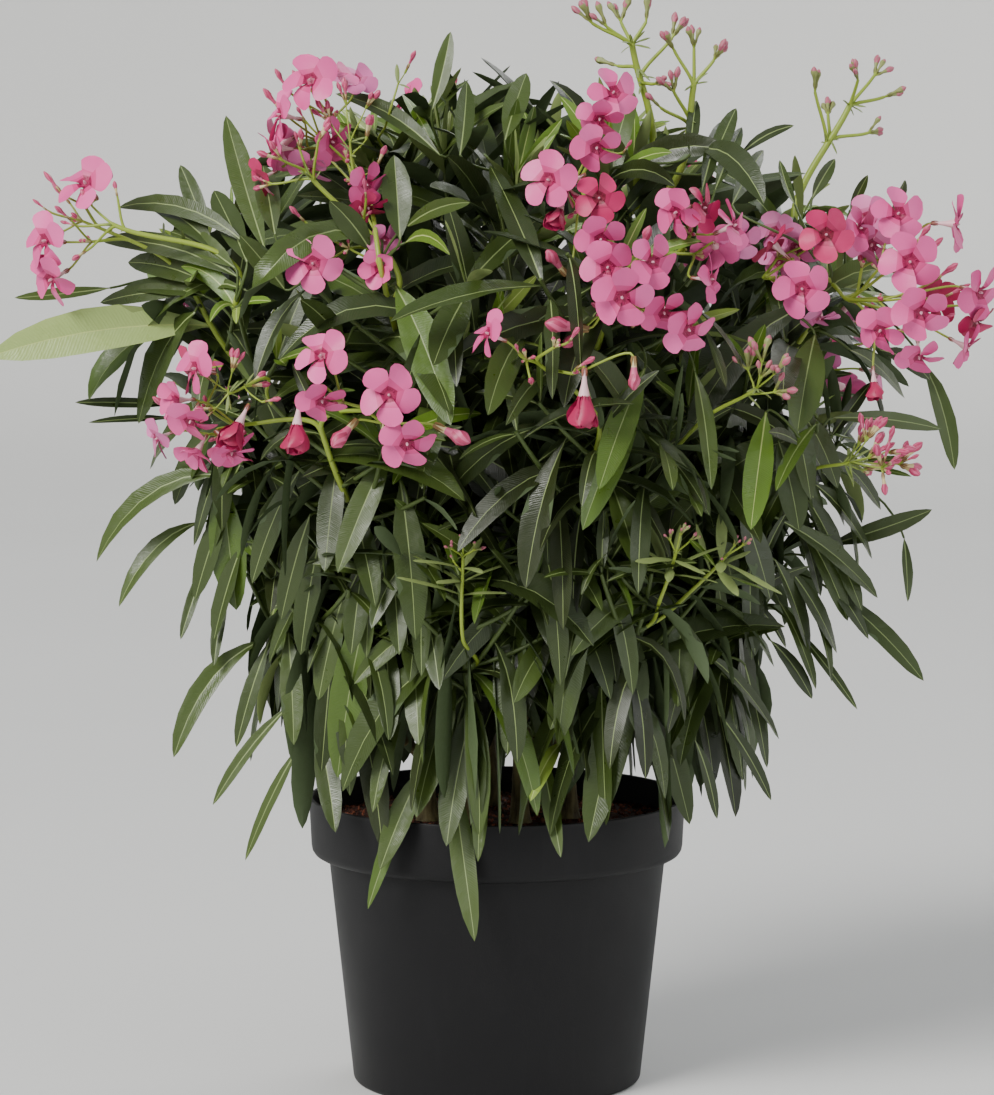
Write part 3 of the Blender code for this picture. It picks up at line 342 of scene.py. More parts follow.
# head: where the camera sees each bloom, its depth, the bearing and rise of its face, its kind, its size
# blooms of kind pale are mostly those at the back of their heads, where their duller tones are painted shade
PLACED_BLOOMS = {
    "far_left": (
        (86, 184, -0.1, (-28, 38), "open", 1.1), (46, 241, -0.108, (-50, 4), "open", 1.02),
        (52, 279, -0.104, (-46, -22), "open", 1.0),
    ),
    "left_top": (
        (311, 81, -0.135, (-22, 22), "open", 1.02), (281, 115, -0.125, (-72, 12), "open", 0.95),
        (279, 148, -0.125, (-80, 5), "open", 0.85), (309, 168, -0.12, (-35, -45), "pale", 0.85),
        (262, 178, -0.115, (-70, -25), "coral", 0.75), (366, 184, -0.166, (35, -20), "open", 0.8),
        (368, 207, -0.166, (25, -50), "coral", 0.7), (355, 80, -0.08, (10, 50), "pale", 0.8),
        (384, 240, -0.166, (20, -10), "pale", 0.6),
    ),
    "left_hero": (
        (313, 264, -0.185, (-5, 12), "open", 1.0), (380, 269, -0.178, (-20, 0), "half", 0.75),
    ),
    "left": (
        (196, 369, -0.215, (-58, 12), "open", 0.95), (239, 424, -0.225, (-35, -50), "bell", 1.0),
        (191, 420, -0.215, (-30, -48), "open", 0.9), (158, 438, -0.19, (-70, -20), "pale", 0.75),
        (232, 452, -0.215, (-5, -60), "open", 0.8), (198, 450, -0.2, (-45, -50), "half", 0.8),
        (178, 400, -0.2, (-60, 0), "half", 0.8),
    ),
    "left_front": (
        (322, 356, -0.255, (-22, 20), "open", 0.95), (322, 400, -0.25, (12, -45), "open", 0.88),
        (389, 395, -0.272, (-2, 6), "open", 1.02), (407, 443, -0.268, (6, -28), "open", 0.96),
        (297, 425, -0.25, (-15, -72), "bell", 1.05), (344, 434, -0.25, (-40, -35), "furled", 0.95),
        (453, 434, -0.25, (65, -22), "furled", 0.95),
    ),
    "centre_top": (
        (613, 93, -0.18, (18, 22), "open", 0.9), (600, 118, -0.19, (-12, -42), "open", 0.82),
        (597, 147, -0.198, (-8, -30), "open", 0.9), (549, 180, -0.21, (-24, 6), "open", 0.98),
        (599, 198, -0.208, (4, 4), "coral", 0.85), (560, 210, -0.2, (-30, -50), "bell", 0.8),
        (556, 262, -0.2, (-50, 45), "furled", 0.8),
    ),
    "centre": (
        (601, 239, -0.225, (-6, -18), "open", 0.88), (608, 267, -0.236, (-10, -10), "open", 0.95),
        (622, 297, -0.258, (2, -14), "open", 1.04), (652, 262, -0.236, (26, 0), "open", 0.92),
        (664, 312, -0.232, (12, -34), "open", 0.85), (688, 329, -0.24, (32, -26), "open", 0.95),
        (566, 326, -0.235, (-80, 8), "furled", 1.0), (573, 338, -0.225, (-55, -35), "furled", 0.7),
    ),
    "centre_right": (
        (677, 212, -0.2, (-48, -16), "open", 0.92), (703, 208, -0.195, (62, 8), "coral", 0.85),
        (733, 226, -0.19, (66, 22), "open", 0.92), (710, 279, -0.2, (68, -2), "open", 0.85),
        (740, 240, -0.165, (20, -10), "pale", 0.75),
    ),
    "centre_low": (
        (489, 334, -0.262, (-66, 22), "open", 0.85), (584, 396, -0.268, (-10, -82), "bell", 1.15),
        (634, 374, -0.262, (5, -86), "furled", 0.75),
    ),
    "right": (
        (910, 262, -0.172, (0, 6), "open", 1.06), (898, 214, -0.14, (12, 20), "open", 0.95),
        (868, 218, -0.115, (-25, 15), "pale", 0.85), (872, 244, -0.125, (-18, -34), "pale", 0.95),
        (955, 224, -0.13, (76, -2), "open", 1.02), (921, 312, -0.176, (2, -24), "open", 1.0),
        (881, 330, -0.16, (-34, -24), "open", 0.92), (919, 356, -0.15, (4, -58), "open", 0.85),
        (979, 292, -0.135, (50, -12), "open", 0.98), (976, 322, -0.125, (40, -45), "coral", 0.75),
        (966, 347, -0.135, (70, -26), "open", 0.85), (874, 382, -0.14, (10, -75), "bell", 0.7),
    ),
    "right_inner": (
        (826, 235, -0.15, (8, 12), "coral", 0.95), (802, 289, -0.165, (-2, 2), "open", 1.0),
        (860, 228, -0.135, (40, 0), "open", 0.8), (797, 246, -0.12, (-20, -30), "pale", 0.85),
        (775, 232, -0.11, (-40, 20), "pale", 0.75), (780, 262, -0.115, (-35, -20), "pale", 0.8),
        (820, 317, -0.125, (0, -70), "pale", 0.7),
    ),
}
# trusses of closed buds: where the camera sees the stalk's foot and its depth, the colour of its buds, where
# it sees the stalk's end and its depth, the length of the buds, the stalk's radius, and its branches: share
# of the stalk's way, where the camera sees the branch's end, number of buds
TRUSSES = (
    ((238, 270, -0.12), "pink", (112, 224, -0.112), 0.012, 0.0021, (
        (0.99, 92, 206, 2), (0.97, 88, 250, 1), (0.99, 78, 226, 1), (0.9, 118, 200, 1),
    )),
    ((399, 276, -0.15), "pink", (305, 170, -0.14), 0.0135, 0.002, (
        (0.99, 282, 160, 2), (0.95, 300, 150, 3), (0.9, 318, 142, 2), (0.92, 272, 184, 2),
    )),
    ((352, 214, -0.148), "pink", (350, 142, -0.145), 0.0135, 0.0011, (
        (0.99, 366, 108, 2), (0.99, 346, 104, 3), (0.85, 330, 122, 3), (0.8, 366, 140, 2),
        (0.45, 376, 168, 2),
    )),
    ((388, 118, -0.09), "pink", (398, 84, -0.09), 0.016, 0.0009, (
        (0.99, 405, 73, 1),
    )),
    ((266, 378, -0.195), "pink", (228, 394, -0.218), 0.013, 0.0012, (
        (0.99, 232, 372, 3), (0.95, 248, 386, 3), (0.9, 214, 382, 3), (0.6, 262, 402, 2),
        (0.99, 216, 408, 2),
    )),
    ((651, 160, -0.05), "green", (632, 44, -0.058), 0.0155, 0.0028, (
        (0.99, 592, 23, 3), (0.99, 607, 27, 2), (0.99, 621, 22, 4), (0.99, 646, 22, 3), (0.8, 618, 66, 1),
        (0.72, 672, 38, 3), (0.66, 654, 84, 2),
    )),
    ((672, 186, -0.06), "green", (694, 84, -0.07), 0.014, 0.0028, (
        (0.99, 674, 50, 2), (0.99, 694, 48, 3), (0.99, 714, 60, 5), (0.66, 674, 92, 3), (0.62, 661, 108, 1),
    )),
    ((797, 200, 0.05), "green", (850, 105, 0.06), 0.014, 0.0028, (
        (0.99, 858, 80, 4), (0.99, 874, 76, 3), (0.99, 884, 97, 2), (0.58, 815, 92, 2), (0.62, 828, 115, 3),
        (0.64, 868, 133, 3),
    )),
    ((705, 418, -0.175), "green", (757, 388, -0.205), 0.014, 0.0014, (
        (0.95, 748, 370, 4), (0.99, 762, 362, 4), (0.99, 774, 374, 4), (0.99, 760, 378, 3),
        (0.8, 774, 392, 3),
    )),
    ((812, 470, -0.12), "pink", (850, 462, -0.14), 0.0175, 0.0014, (
        (0.92, 866, 441, 5), (0.99, 886, 452, 6), (0.99, 898, 464, 6), (0.99, 882, 468, 6),
        (0.99, 868, 458, 5), (0.8, 858, 446, 4), (0.85, 862, 470, 3),
    )),
    ((463, 640, -0.17), "green", (463, 556, -0.19), 0.0065, 0.0014, (
        (0.99, 452, 549, 3), (0.99, 463, 544, 4), (0.99, 474, 550, 3), (0.8, 454, 562, 1),
    )),
    ((660, 600, -0.17), "green", (676, 553, -0.19), 0.007, 0.0014, (
        (0.99, 670, 540, 3), (0.99, 680, 535, 4), (0.99, 690, 541, 3),
    )),
    ((690, 592, -0.15), "green", (726, 556, -0.165), 0.0065, 0.0014, (
        (0.99, 734, 546, 3), (0.99, 743, 545, 3), (0.9, 722, 561, 1),
    )),
)

# --- tones --------------------------------------------------------------------------------------------
LEAF_TONES = (
    ("leaf_deep_shade", "#20270f"), ("leaf_deep", "#2a3314"), ("leaf_blue_green", "#303c1b"),
    ("leaf_green", "#38471b"), ("leaf_mid_green", "#42531f"), ("leaf_grass", "#4c6421"),
    ("leaf_light", "#5e7c26"), ("leaf_young", "#7e943a"), ("leaf_pale", "#98ad66"),
)
FIRST_LIGHT_TONE = 6  # from here on a leaf has a yellow midrib and a pale back
SPRAY_TONES = (0.6, 3.8)
TONE_SPREAD = 1.3
YOUNG_AGE = 0.25  # up to here the leaves of high shoots are light
PALEST_YOUNG = 0.3  # share of those that are a tone lighter
RIB_TONES = (("midrib_pale", "#81915a"), ("midrib_yellow", "#aebd70"))
UNDER_TONES = (("leaf_back", "#4a5a38"), ("leaf_back_pale", "#7c8c50"))
PETAL_ZONES = ("throat", "inner", "blush", "main", "outer", "back")
# finishes of a bloom's tube, calyx and heart, and of a bud's foot, petals, furrows and calyx
BLOOM_TONES = (("bloom_tube", "#e9bcc2", 0.5), ("calyx", "#8f5540", 0.55), ("bloom_heart", "#dfa0b4", 0.5))
BUD_TONES = {
    "pink": (
        ("bud_foot", "#cfbf8a", 0.5), ("bud_pink", "#cc5c82", 0.45),
        ("bud_deep", "#b03a60", 0.45), ("bud_calyx", "#8a6a42", 0.55),
    ),
    "green": (
        ("bud_olive", "#8a9255", 0.5), ("bud_rust", "#b0737a", 0.5),
        ("bud_dull_pink", "#b85672", 0.5), ("bud_sepal", "#84884a", 0.55),
    ),
}
PETAL_TONES = {
    "rose": ("#96104a", "#b82468", "#cf3f80", "#e05698", "#ea64a6", "#cc4e8a"),
    # pale: the rose tones made duller and more lilac, painted shade
    "pale": ("#94204e", "#bc4880", "#c2588c", "#d66ea6", "#de7cb2", "#c4649c"),
    "coral": ("#74062a", "#9a0e42", "#a81650", "#bf2460", "#c82e68", "#a82050"),
}


# --- small geometry -----------------------------------------------------------------------------------
def outward(bearing):
    angle = math.radians(bearing)
    return Vector((math.sin(angle), -math.cos(angle), 0))


def sloped(bearing, lean):
    angle = math.radians(lean)
    return outward(bearing) * math.cos(angle) + UP * math.sin(angle)


def across(direction, hint=UP):
    side = direction.cross(hint)
    if side.length < 1e-4:
        side = direction.cross(Vector((1, 0, 0)))
    return side.normalized()


def any_way(chance, reach=1):
    return Vector([chance.uniform(-reach, reach) for _ in range(3)])


def array_of(vectors):
    return np.array([tuple(vector) for vector in vectors])


def smooth_path(start, start_direction, end, end_direction, steps, slack=1.0):
    """Points of a Hermite curve from start to end."""
    pull = (end - start).length * slack
    points = []
    for i in range(steps + 1):
        t = i / steps
        a = 2 * t**3 - 3 * t**2 + 1
        b = t**3 - 2 * t**2 + t
        c = -2 * t**3 + 3 * t**2
        d = t**3 - t**2
        points.append(a * start + b * pull * start_direction + c * end + d * pull * end_direction)
    return points


def point_on(path, share):
    """The point and the direction at a share of the way along a path's steps."""
    place = min(max(share, 0), 0.9999) * (len(path) - 1)
    i = int(place)
    step = path[i + 1] - path[i]
    return path[i] + step * (place - i), step.normalized()


def turned(profile, sides):
    """Vertices and faces of a solid of revolution; its profile runs from axis to axis, bottom first."""
    rings = profile[1:-1]
    verts = [Vector((0, 0, profile[0][1]))]
    for radius, height in rings:
        for k in range(sides):
            turn = 2 * math.pi * k / sides
            verts.append(Vector((radius * math.cos(turn), radius * math.sin(turn), height)))
    verts.append(Vector((0, 0, profile[-1][1])))
    faces = []
    top, last = len(verts) - 1, 1 + (len(rings) - 1) * sides
    for k in range(sides):
        n = (k + 1) % sides
        faces.append((0, 1 + n, 1 + k))
        for i in range(len(rings) - 1):
            a = 1 + i * sides
            faces.append((a + k, a + n, a + sides + n, a + sides + k))
        faces.append((last + k, last + n, top))
    return verts, faces


def rounded(corner_from, corner, corner_to, radius, steps=4):
    """Points of an arc that rounds a corner of a profile."""
    a = Vector(corner_from) - Vector(corner)
    b = Vector(corner_to) - Vector(corner)
    start = Vector(corner) + a.normalized() * radius
    end = Vector(corner) + b.normalized() * radius
    points = []
    for i in range(steps + 1):
        t = i / steps
        points.append(tuple(start * (1 - t) ** 2 + Vector(corner) * 2 * t * (1 - t) + end * t**2))
    return points


# --- meshes and objects -------------------------------------------------------------------------------
def new_object(name, data):
    obj = bpy.data.objects.new(name, data)
    bpy.context.scene.collection.objects.link(obj)
    return obj


def new_mesh(name, verts, edges=(), faces=()):
    mesh = bpy.data.meshes.new(name)
    mesh.from_pydata([tuple(vert) for vert in verts], edges, faces)
    mesh.polygons.foreach_set("use_smooth", [True] * len(mesh.polygons))
    return mesh


def add_mesh(name, verts, faces, materials=()):
    obj = new_object(name, new_mesh(name, verts, (), faces))
    for material in materials:
        obj.data.materials.append(material)
    return obj


def keep_modified(obj):
    """Keeps what an object's modifiers make as its plain mesh."""
    bpy.context.view_layer.update()
    evaluated = obj.evaluated_get(bpy.context.evaluated_depsgraph_get())
    obj.data = bpy.data.meshes.new_from_object(evaluated)
    obj.modifiers.clear()


def give_attribute(mesh, name, kind, domain, values):
    layer = mesh.attributes.new(name, kind, domain)
    key = "vector" if kind == "FLOAT_VECTOR" else "value"
    layer.data.foreach_set(key, np.asarray(values).ravel())


def finish_piece(obj, slot, *nodes):
    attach(obj, "root")
    if nodes:
        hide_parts(*nodes)


# --- node trees ---------------------------------------------------------------------------------------
def adder(tree):
    """A function that adds a node to a tree, gives its inputs values or links, and returns an output."""

    def add(kind, values=None, output=0, **settings):
        made = tree.nodes.new(kind)
        for key, value in settings.items():
            setattr(made, key, value)
        for key, value in (values or {}).items():
            if isinstance(value, bpy.types.NodeSocket):
                tree.links.new(value, made.inputs[key])
            else:
                made.inputs[key].default_value = value
        return made.outputs[output]

    return add


def maths(add, operation, *values):
    return add("ShaderNodeMath", dict(enumerate(values)), operation=operation)


def new_tree(name, sockets):
    """A geometry tree with one geometry input and output and the named inputs given."""
    tree = bpy.data.node_groups.new(name, "GeometryNodeTree")
    tree.interface.new_socket("Geometry", in_out="OUTPUT", socket_type="NodeSocketGeometry")
    for label, kind in (("Geometry", "Geometry"), *sockets):
        tree.interface.new_socket(label, in_out="INPUT", socket_type="NodeSocket" + kind)
    return tree, adder(tree), tree.nodes.new("NodeGroupInput").outputs


def ended(tree, mesh):
    tree.links.new(mesh, tree.nodes.new("NodeGroupOutput").inputs[0])
    return tree


def grown_mesh(obj, tree, values):
    """Runs a geometry tree on an object and keeps what it makes as the object's plain mesh."""
    modifier = obj.modifiers.new("tree", "NODES")
    modifier.node_group = tree
    for item in tree.interface.items_tree:
        if item.in_out == "INPUT" and item.name in values:
            modifier[item.identifier] = values[item.name]
    keep_modified(obj)
    obj.data.name = obj.name


def named(add, name, kind="FLOAT"):
    return add("GeometryNodeInputNamedAttribute", {"Name": name}, "Attribute", data_type=kind)


def with_material(add, mesh, finish, zone=None):
    """Sets a material, on the faces of one zone number where that is given."""
    values = {"Geometry": mesh, "Material": finish}
    if zone is not None:
        same = {2: named(add, "zone", "INT"), 3: zone}
        values["Selection"] = add("FunctionNodeCompare", same, data_type="INT", operation="EQUAL")
    return add("GeometryNodeSetMaterial", values)


def set_out(add, given, placing):
    """Picks of the collection given as Shapes, set out on points and made real."""
    info = {"Collection": given["Shapes"], "Separate Children": True, "Reset Children": True}
    placing["Instance"] = add("GeometryNodeCollectionInfo", info)
    placing["Pick Instance"] = True
    return add("GeometryNodeRealizeInstances", {"Geometry": add("GeometryNodeInstanceOnPoints", placing)})


def limb_tree():
    """Sweeps tapering limbs along lines, swells them at the whorls and gives them the bark's relief."""
    sizes = ("Spacing", "Relief", "Relief Size", "Ring Spacing", "Ring Swell")
    sockets = [("Sides", "Int")] + [(label, "Float") for label in sizes] + [("Finish", "Material")]
    tree, add, given = new_tree("limb", sockets)
    curve = add("GeometryNodeMeshToCurve", {"Mesh": given["Geometry"]})
    curve = add("GeometryNodeResampleCurve", {"Curve": curve, "Length": given["Spacing"]}, mode="LENGTH")
    along = add("GeometryNodeSplineParameter", output="Length")
    step = maths(add, "FRACT", maths(add, "DIVIDE", along, given["Ring Spacing"]))
    from_ring = maths(add, "ABSOLUTE", maths(add, "SUBTRACT", step, 0.5))
    swell = maths(add, "POWER", maths(add, "MULTIPLY", from_ring, 2.0), 8.0)
    swell = maths(add, "MULTIPLY_ADD", swell, given["Ring Swell"], 1.0)
    radius = maths(add, "MULTIPLY", named(add, "radius"), swell)
    ring = add("GeometryNodeCurvePrimitiveCircle", {"Resolution": given["Sides"], "Radius": 1.0})
    swept = {"Curve": curve, "Profile Curve": ring, "Scale": radius, "Fill Caps": True}
    mesh = add("GeometryNodeCurveToMesh", swept)
    stretched = {0: add("GeometryNodeInputPosition"), 1: (1.0, 1.0, 0.35)}
    stretched = add("ShaderNodeVectorMath", stretched, operation="MULTIPLY")
    grain = {"Vector": stretched, "Scale": given["Relief Size"], "Detail": 3.0}
    grain = maths(add, "SUBTRACT", add("ShaderNodeTexNoise", grain), 0.5)
    offset = {0: add("GeometryNodeInputNormal"), "Scale": maths(add, "MULTIPLY", grain, given["Relief"])}
    offset = add("ShaderNodeVectorMath", offset, operation="SCALE")
    mesh = add("GeometryNodeSetPosition", {"Geometry": mesh, "Offset": offset})
    mesh = add("GeometryNodeSetShadeSmooth", {"Geometry": mesh})
    mesh = add("GeometryNodeRealizeInstances", {"Geometry": mesh})
    return ended(tree, with_material(add, mesh, given["Finish"]))


def dealt_tree(zones):
    """Sets a picked shape on every point, turned to the point's facing, and finishes it by zones."""
    sockets = [("Shapes", "Collection")] + [(f"Zone {k}", "Material") for k in range(zones)]
    tree, add, given = new_tree(f"dealt_{zones}", sockets)
    facing = {"Vector": named(add, "facing", "FLOAT_VECTOR")}
    facing = add("FunctionNodeAlignRotationToVector", facing, axis="Z")
    spin = add("FunctionNodeAxisAngleToRotation", {"Axis": (0, 0, 1), "Angle": named(add, "spin")})
    turn = {"Rotation": facing, "Rotate By": spin}
    turn = add("FunctionNodeRotateRotation", turn, rotation_space="LOCAL")
    placing = {"Points": given["Geometry"], "Instance Index": named(add, "kind", "INT")}
    mesh = set_out(add, given, {**placing, "Rotation": turn, "Scale": named(add, "size")})
    for k in range(zones):
        mesh = with_material(add, mesh, given[f"Zone {k}"], k)
    return ended(tree, mesh)


def crumb_tree():
    """Scatters crumbs over the upward faces of a surface."""
    sockets = [("Shapes", "Collection"), ("Density", "Float"), ("Smallest", "Float"), ("Largest", "Float")]
    sockets += [("Seed", "Int"), ("Dark", "Material"), ("Light", "Material")]
    tree, add, given = new_tree("crumbs", sockets)
    height = add("ShaderNodeSeparateXYZ", {0: add("GeometryNodeInputNormal")}, 2)
    strewn = {"Mesh": given["Geometry"], "Selection": maths(add, "GREATER_THAN", height, 0.5)}
    strewn.update({"Density": given["Density"], "Seed": given["Seed"]})
    points = add("GeometryNodeDistributePointsOnFaces", strewn)
    turn = {"Min": (0, 0, 0), "Max": (FULL_TURN, FULL_TURN, FULL_TURN)}
    turn = add("FunctionNodeRandomValue", turn, "Value", data_type="FLOAT_VECTOR")
    turn = add("FunctionNodeEulerToRotation", {"Euler": turn})
    size = {"Seed": 4, 2: given["Smallest"], 3: given["Largest"]}
    size = add("FunctionNodeRandomValue", size, 1, data_type="FLOAT")
    mesh = set_out(add, given, {"Points": points, "Rotation": turn, "Scale": size})
    mesh = with_material(add, mesh, given["Dark"])
    return ended(tree, with_material(add, mesh, given["Light"], 1))


# --- finishes -----------------------------------------------------------------------------------------
def tone(text):
    """A linear colour from its usual six-figure notation."""
    values = [int(text[i : i + 2], 16) / 255 for i in (1, 3, 5)]
    return tuple(v / 12.92 if v <= 0.04045 else ((v + 0.055) / 1.055) ** 2.4 for v in values) + (1,)


def new_finish(name, colour, roughness, **uniform):
    """A material, the function that adds nodes to it, and its shader."""
    finish = bpy.data.materials.new(name)
    finish.use_nodes = True
    shader = finish.node_tree.nodes["Principled BSDF"]
    shader.inputs["Base Color"].default_value = tone(colour)
    shader.inputs["Roughness"].default_value = roughness
    for key, value in uniform.items():
        shader.inputs[key.replace("_", " ").title().replace("Ior", "IOR")].default_value = value
    finish.diffuse_color = tone(colour)
    return finish, adder(finish.node_tree), shader


def feed(shader, socket, value):
    shader.id_data.links.new(value, shader.inputs[socket])


def own_place(add):
    return add("ShaderNodeTexCoord", output="Object")


def object_noise(add, scale, detail=3.0, roughness=0.55, stretch=(1, 1, 1)):
    mapped = add("ShaderNodeMapping", {"Vector": own_place(add), "Scale": stretch})
    values = {"Vector": mapped, "Scale": scale, "Detail": detail, "Roughness": roughness}
    return add("ShaderNodeTexNoise", values)


def spread(add, value, low, high, to_low, to_high):
    values = {"Value": value, "From Min": low, "From Max": high, "To Min": to_low, "To Max": to_high}
    return add("ShaderNodeMapRange", values)


def mixed(add, share, first, second):
    values = {0: share, "A": (0, 0, 0, 1)}
    for key, value in ((6, first), (7, second)):
        values[key] = tone(value) if isinstance(value, str) else value
    return add("ShaderNodeMix", values, 2, data_type="RGBA")


def mottled(add, field, first, second):
    """Two colours in soft-edged patches of a noise."""
    return mixed(add, spread(add, field, 0.35, 0.65, 0, 1), first, second)


def feed_roughness(add, shader, field, low, high):
    """A roughness that wanders with a noise."""
    feed(shader, "Roughness", spread(add, field, 0.3, 0.7, low, high))


def feed_bumps(add, shader, heights):
    """Chains bumps of (height, strength, distance) into the shader's normal."""
    normal = {}
    for height, strength, distance in heights:
        values = {"Height": height, "Strength": strength, "Distance": distance, **normal}
        normal = {"Normal": add("ShaderNodeBump", values)}
    feed(shader, "Normal", normal["Normal"])


def leaf_finish(name, colour, roughness):
    """A leathery blade: fine side veins that run from the midrib to the edge, and a soft uneven gloss."""
    finish, add, shader = new_finish(name, colour, roughness, specular_ior_level=0.5)
    blade = add("ShaderNodeUVMap", uv_map="blade")
    along, over, _ = add("ShaderNodeSeparateXYZ", {0: blade}).node.outputs
    from_rib = maths(add, "ABSOLUTE", maths(add, "SUBTRACT", over, 0.5))
    slant = maths(add, "MULTIPLY_ADD", from_rib, -0.11, along)
    lines = add("ShaderNodeCombineXYZ", {0: slant, 1: maths(add, "MULTIPLY", from_rib, 0.05)})
    veins = {"Vector": lines, "Scale": 20.0, "Distortion": 5.0, "Detail": 3.0, "Detail Scale": 2.0}
    veins = add("ShaderNodeTexWave", veins, "Fac", bands_direction="X")
    feed_bumps(add, shader, ((veins, 0.16, 0.0005), (object_noise(add, 95.0, 2.0), 0.30, 0.0018)))
    feed_roughness(add, shader, object_noise(add, 60.0), roughness - 0.08, roughness + 0.12)
    return finish


def soft_finish(name, colour, roughness):
    """A petal, stalk or midrib: a plain colour with fine grain and an uneven sheen."""
    finish, add, shader = new_finish(name, colour, roughness)
    fine = object_noise(add, 260.0)
    feed_bumps(add, shader, ((fine, 0.35, 0.0004),))
    feed_roughness(add, shader, fine, roughness - 0.06, roughness + 0.08)
    return finish


def bark_finish():
    """Olive-brown low down, yellow-green where the wood is young, with pale streaks and small pores."""
    finish, add, shader = new_finish("bark", "#6d6440", 0.75)
    height = add("ShaderNodeSeparateXYZ", {0: own_place(add)}, 2)
    streaks = object_noise(add, 220.0, 4.0, 0.6, (1, 1, 0.18))
    old_wood = mottled(add, streaks, "#4d4228", "#857a4e")
    green_wood = mottled(add, streaks, "#66752f", "#8b9a45")
    young = spread(add, height, 0.24, 0.50, 0.0, 1.0)
    feed(shader, "Base Color", mixed(add, young, old_wood, green_wood))
    pores = object_noise(add, 520.0, 2.0)
    feed_bumps(add, shader, ((streaks, 0.6, 0.0008), (pores, 0.4, 0.0004)))
    feed_roughness(add, shader, pores, 0.62, 0.85)
    return finish


def pot_finish():
    """Matt charcoal plastic with a fine moulded grain, faint upright scuffs, and a lighter top edge on the
    band, partly wear and partly painted highlight.
    """
    finish, add, shader = new_finish("pot_plastic", "#0d0d0f", 0.58, specular_ior_level=0.28)
    cloud = object_noise(add, 9.0, 4.0)
    scuffs = object_noise(add, 90.0, 3.0, 0.6, (1, 1, 0.06))
    base = mottled(add, cloud, "#0b0b0d", "#0f0f11")
    base = mixed(add, spread(add, scuffs, 0.56, 0.75, 0, 0.35), base, "#171719")
    height = add("ShaderNodeSeparateXYZ", {0: own_place(add)}, 2)
    # painted highlight, partly wear: the top 3 mm of the rim are mixed up to half way towards a lighter grey
    rim_wear_and_highlight = spread(add, height, POT_HEIGHT - 0.003, POT_HEIGHT, 0.0, 0.5)
    feed(shader, "Base Color", mixed(add, rim_wear_and_highlight, base, "#242424"))
    feed_bumps(add, shader, ((object_noise(add, 900.0, 2.0), 0.25, 0.0003), (scuffs, 0.05, 0.0002)))
    feed_roughness(add, shader, cloud, 0.48, 0.62)
    return finish


def soil_finish(name, dark, light):
    finish, add, shader = new_finish(name, dark, 0.95)
    patches = object_noise(add, 160.0, 5.0, 0.65)
    feed(shader, "Base Color", mottled(add, patches, dark, light))
    fine = object_noise(add, 700.0, 4.0, 0.7)
    feed_bumps(add, shader, ((patches, 0.8, 0.002), (fine, 0.7, 0.0008)))
    feed_roughness(add, shader, fine, 0.85, 1.0)
    return finish


# --- camera, lights and floor -------------------------------------------------------------------------
def in_view(right, down, depth):
    """The point, at a depth along Y, that the camera sees so far right and down in its frame."""
    focal = VIEW_SIZE[1] * CAMERA_LENS / CAMERA_SENSOR
    sight = Vector((right - VIEW_SIZE[0] / 2, VIEW_SIZE[1] / 2 - down, -focal))
    sight.rotate(Euler((CAMERA_TILT, 0, 0)))
    return CAMERA_PLACE + sight * (depth - CAMERA_PLACE.y) / sight.y


def set_camera():
    data = bpy.data.cameras.new("camera")
    data.lens = CAMERA_LENS
    data.sensor_width = CAMERA_SENSOR
    camera = new_object("camera", data)
    camera.location = CAMERA_PLACE
    camera.rotation_euler = (CAMERA_TILT, 0, 0)
    bpy.context.scene.camera = camera


def add_light(name, kind, place, size, power, colour=(1, 1, 1)):
    data = bpy.data.lights.new(name, kind)
    if kind == "SUN":
        data.angle = math.radians(size)
    else:
        data.size = size
    data.energy = power
    data.color = colour
    light = new_object(name, data)
    light.location = place
    aim = LIGHTS_AIM - Vector(place)
    light.rotation_euler = aim.to_track_quat("-Z", "Y").to_euler()


def light_studio():
    add_light("key", "SUN", (-1.6, -1.7, 2.2), 28, 2.7, (1.0, 0.985, 0.96))
    add_light("rim", "SUN", (1.2, 1.9, 1.9), 35, 1.3)
    add_light("softbox", "AREA", (-1.4, -1.6, 2.0), 1.3, 30, (1.0, 0.985, 0.96))
    add_light("fill", "AREA", (2.2, -1.6, 1.2), 1.6, 14, (0.96, 0.98, 1.0))
    world = bpy.data.worlds.new("studio")
    world.use_nodes = True
    colour, strength = world.node_tree.nodes["Background"].inputs[:2]
    colour.default_value, strength.default_value = (0.80, 0.84, 0.88, 1), 0.45
    bpy.context.scene.world = world


def lay_floor():
    """A pale floor that sweeps up into a round backdrop."""
    inside = FLOOR_FLAT + FLOOR_BEND
    outside = inside + 0.1
    profile = [(0, -FLOOR_THICK), (outside, -FLOOR_THICK), (outside, FLOOR_TOP), (inside, FLOOR_TOP)]
    for angle in np.linspace(math.pi / 2, 0, 9):
        out, up = FLOOR_BEND * math.sin(angle), FLOOR_BEND - FLOOR_BEND * math.cos(angle)
        profile.append((FLOOR_FLAT + out, up))
    profile += [(2.0, 0), (0, 0)]
    finish, add, shader = new_finish("floor", "#dcdcda", 0.8)
    feed(shader, "Base Color", mixed(add, object_noise(add, 1.2, 2.0), "#d9d9d7", "#e0e0de"))
    floor = add_mesh("floor", *turned(profile, 96), [finish])
    floor.data.set_sharp_from_angle(angle=math.radians(40))


# --- pot and potting mix ------------------------------------------------------------------------------
def inner_wall(height):
    share = height / (POT_HEIGHT - BAND_HEIGHT)
    return BASE_RADIUS + (BODY_TOP_RADIUS - BASE_RADIUS) * share - WALL


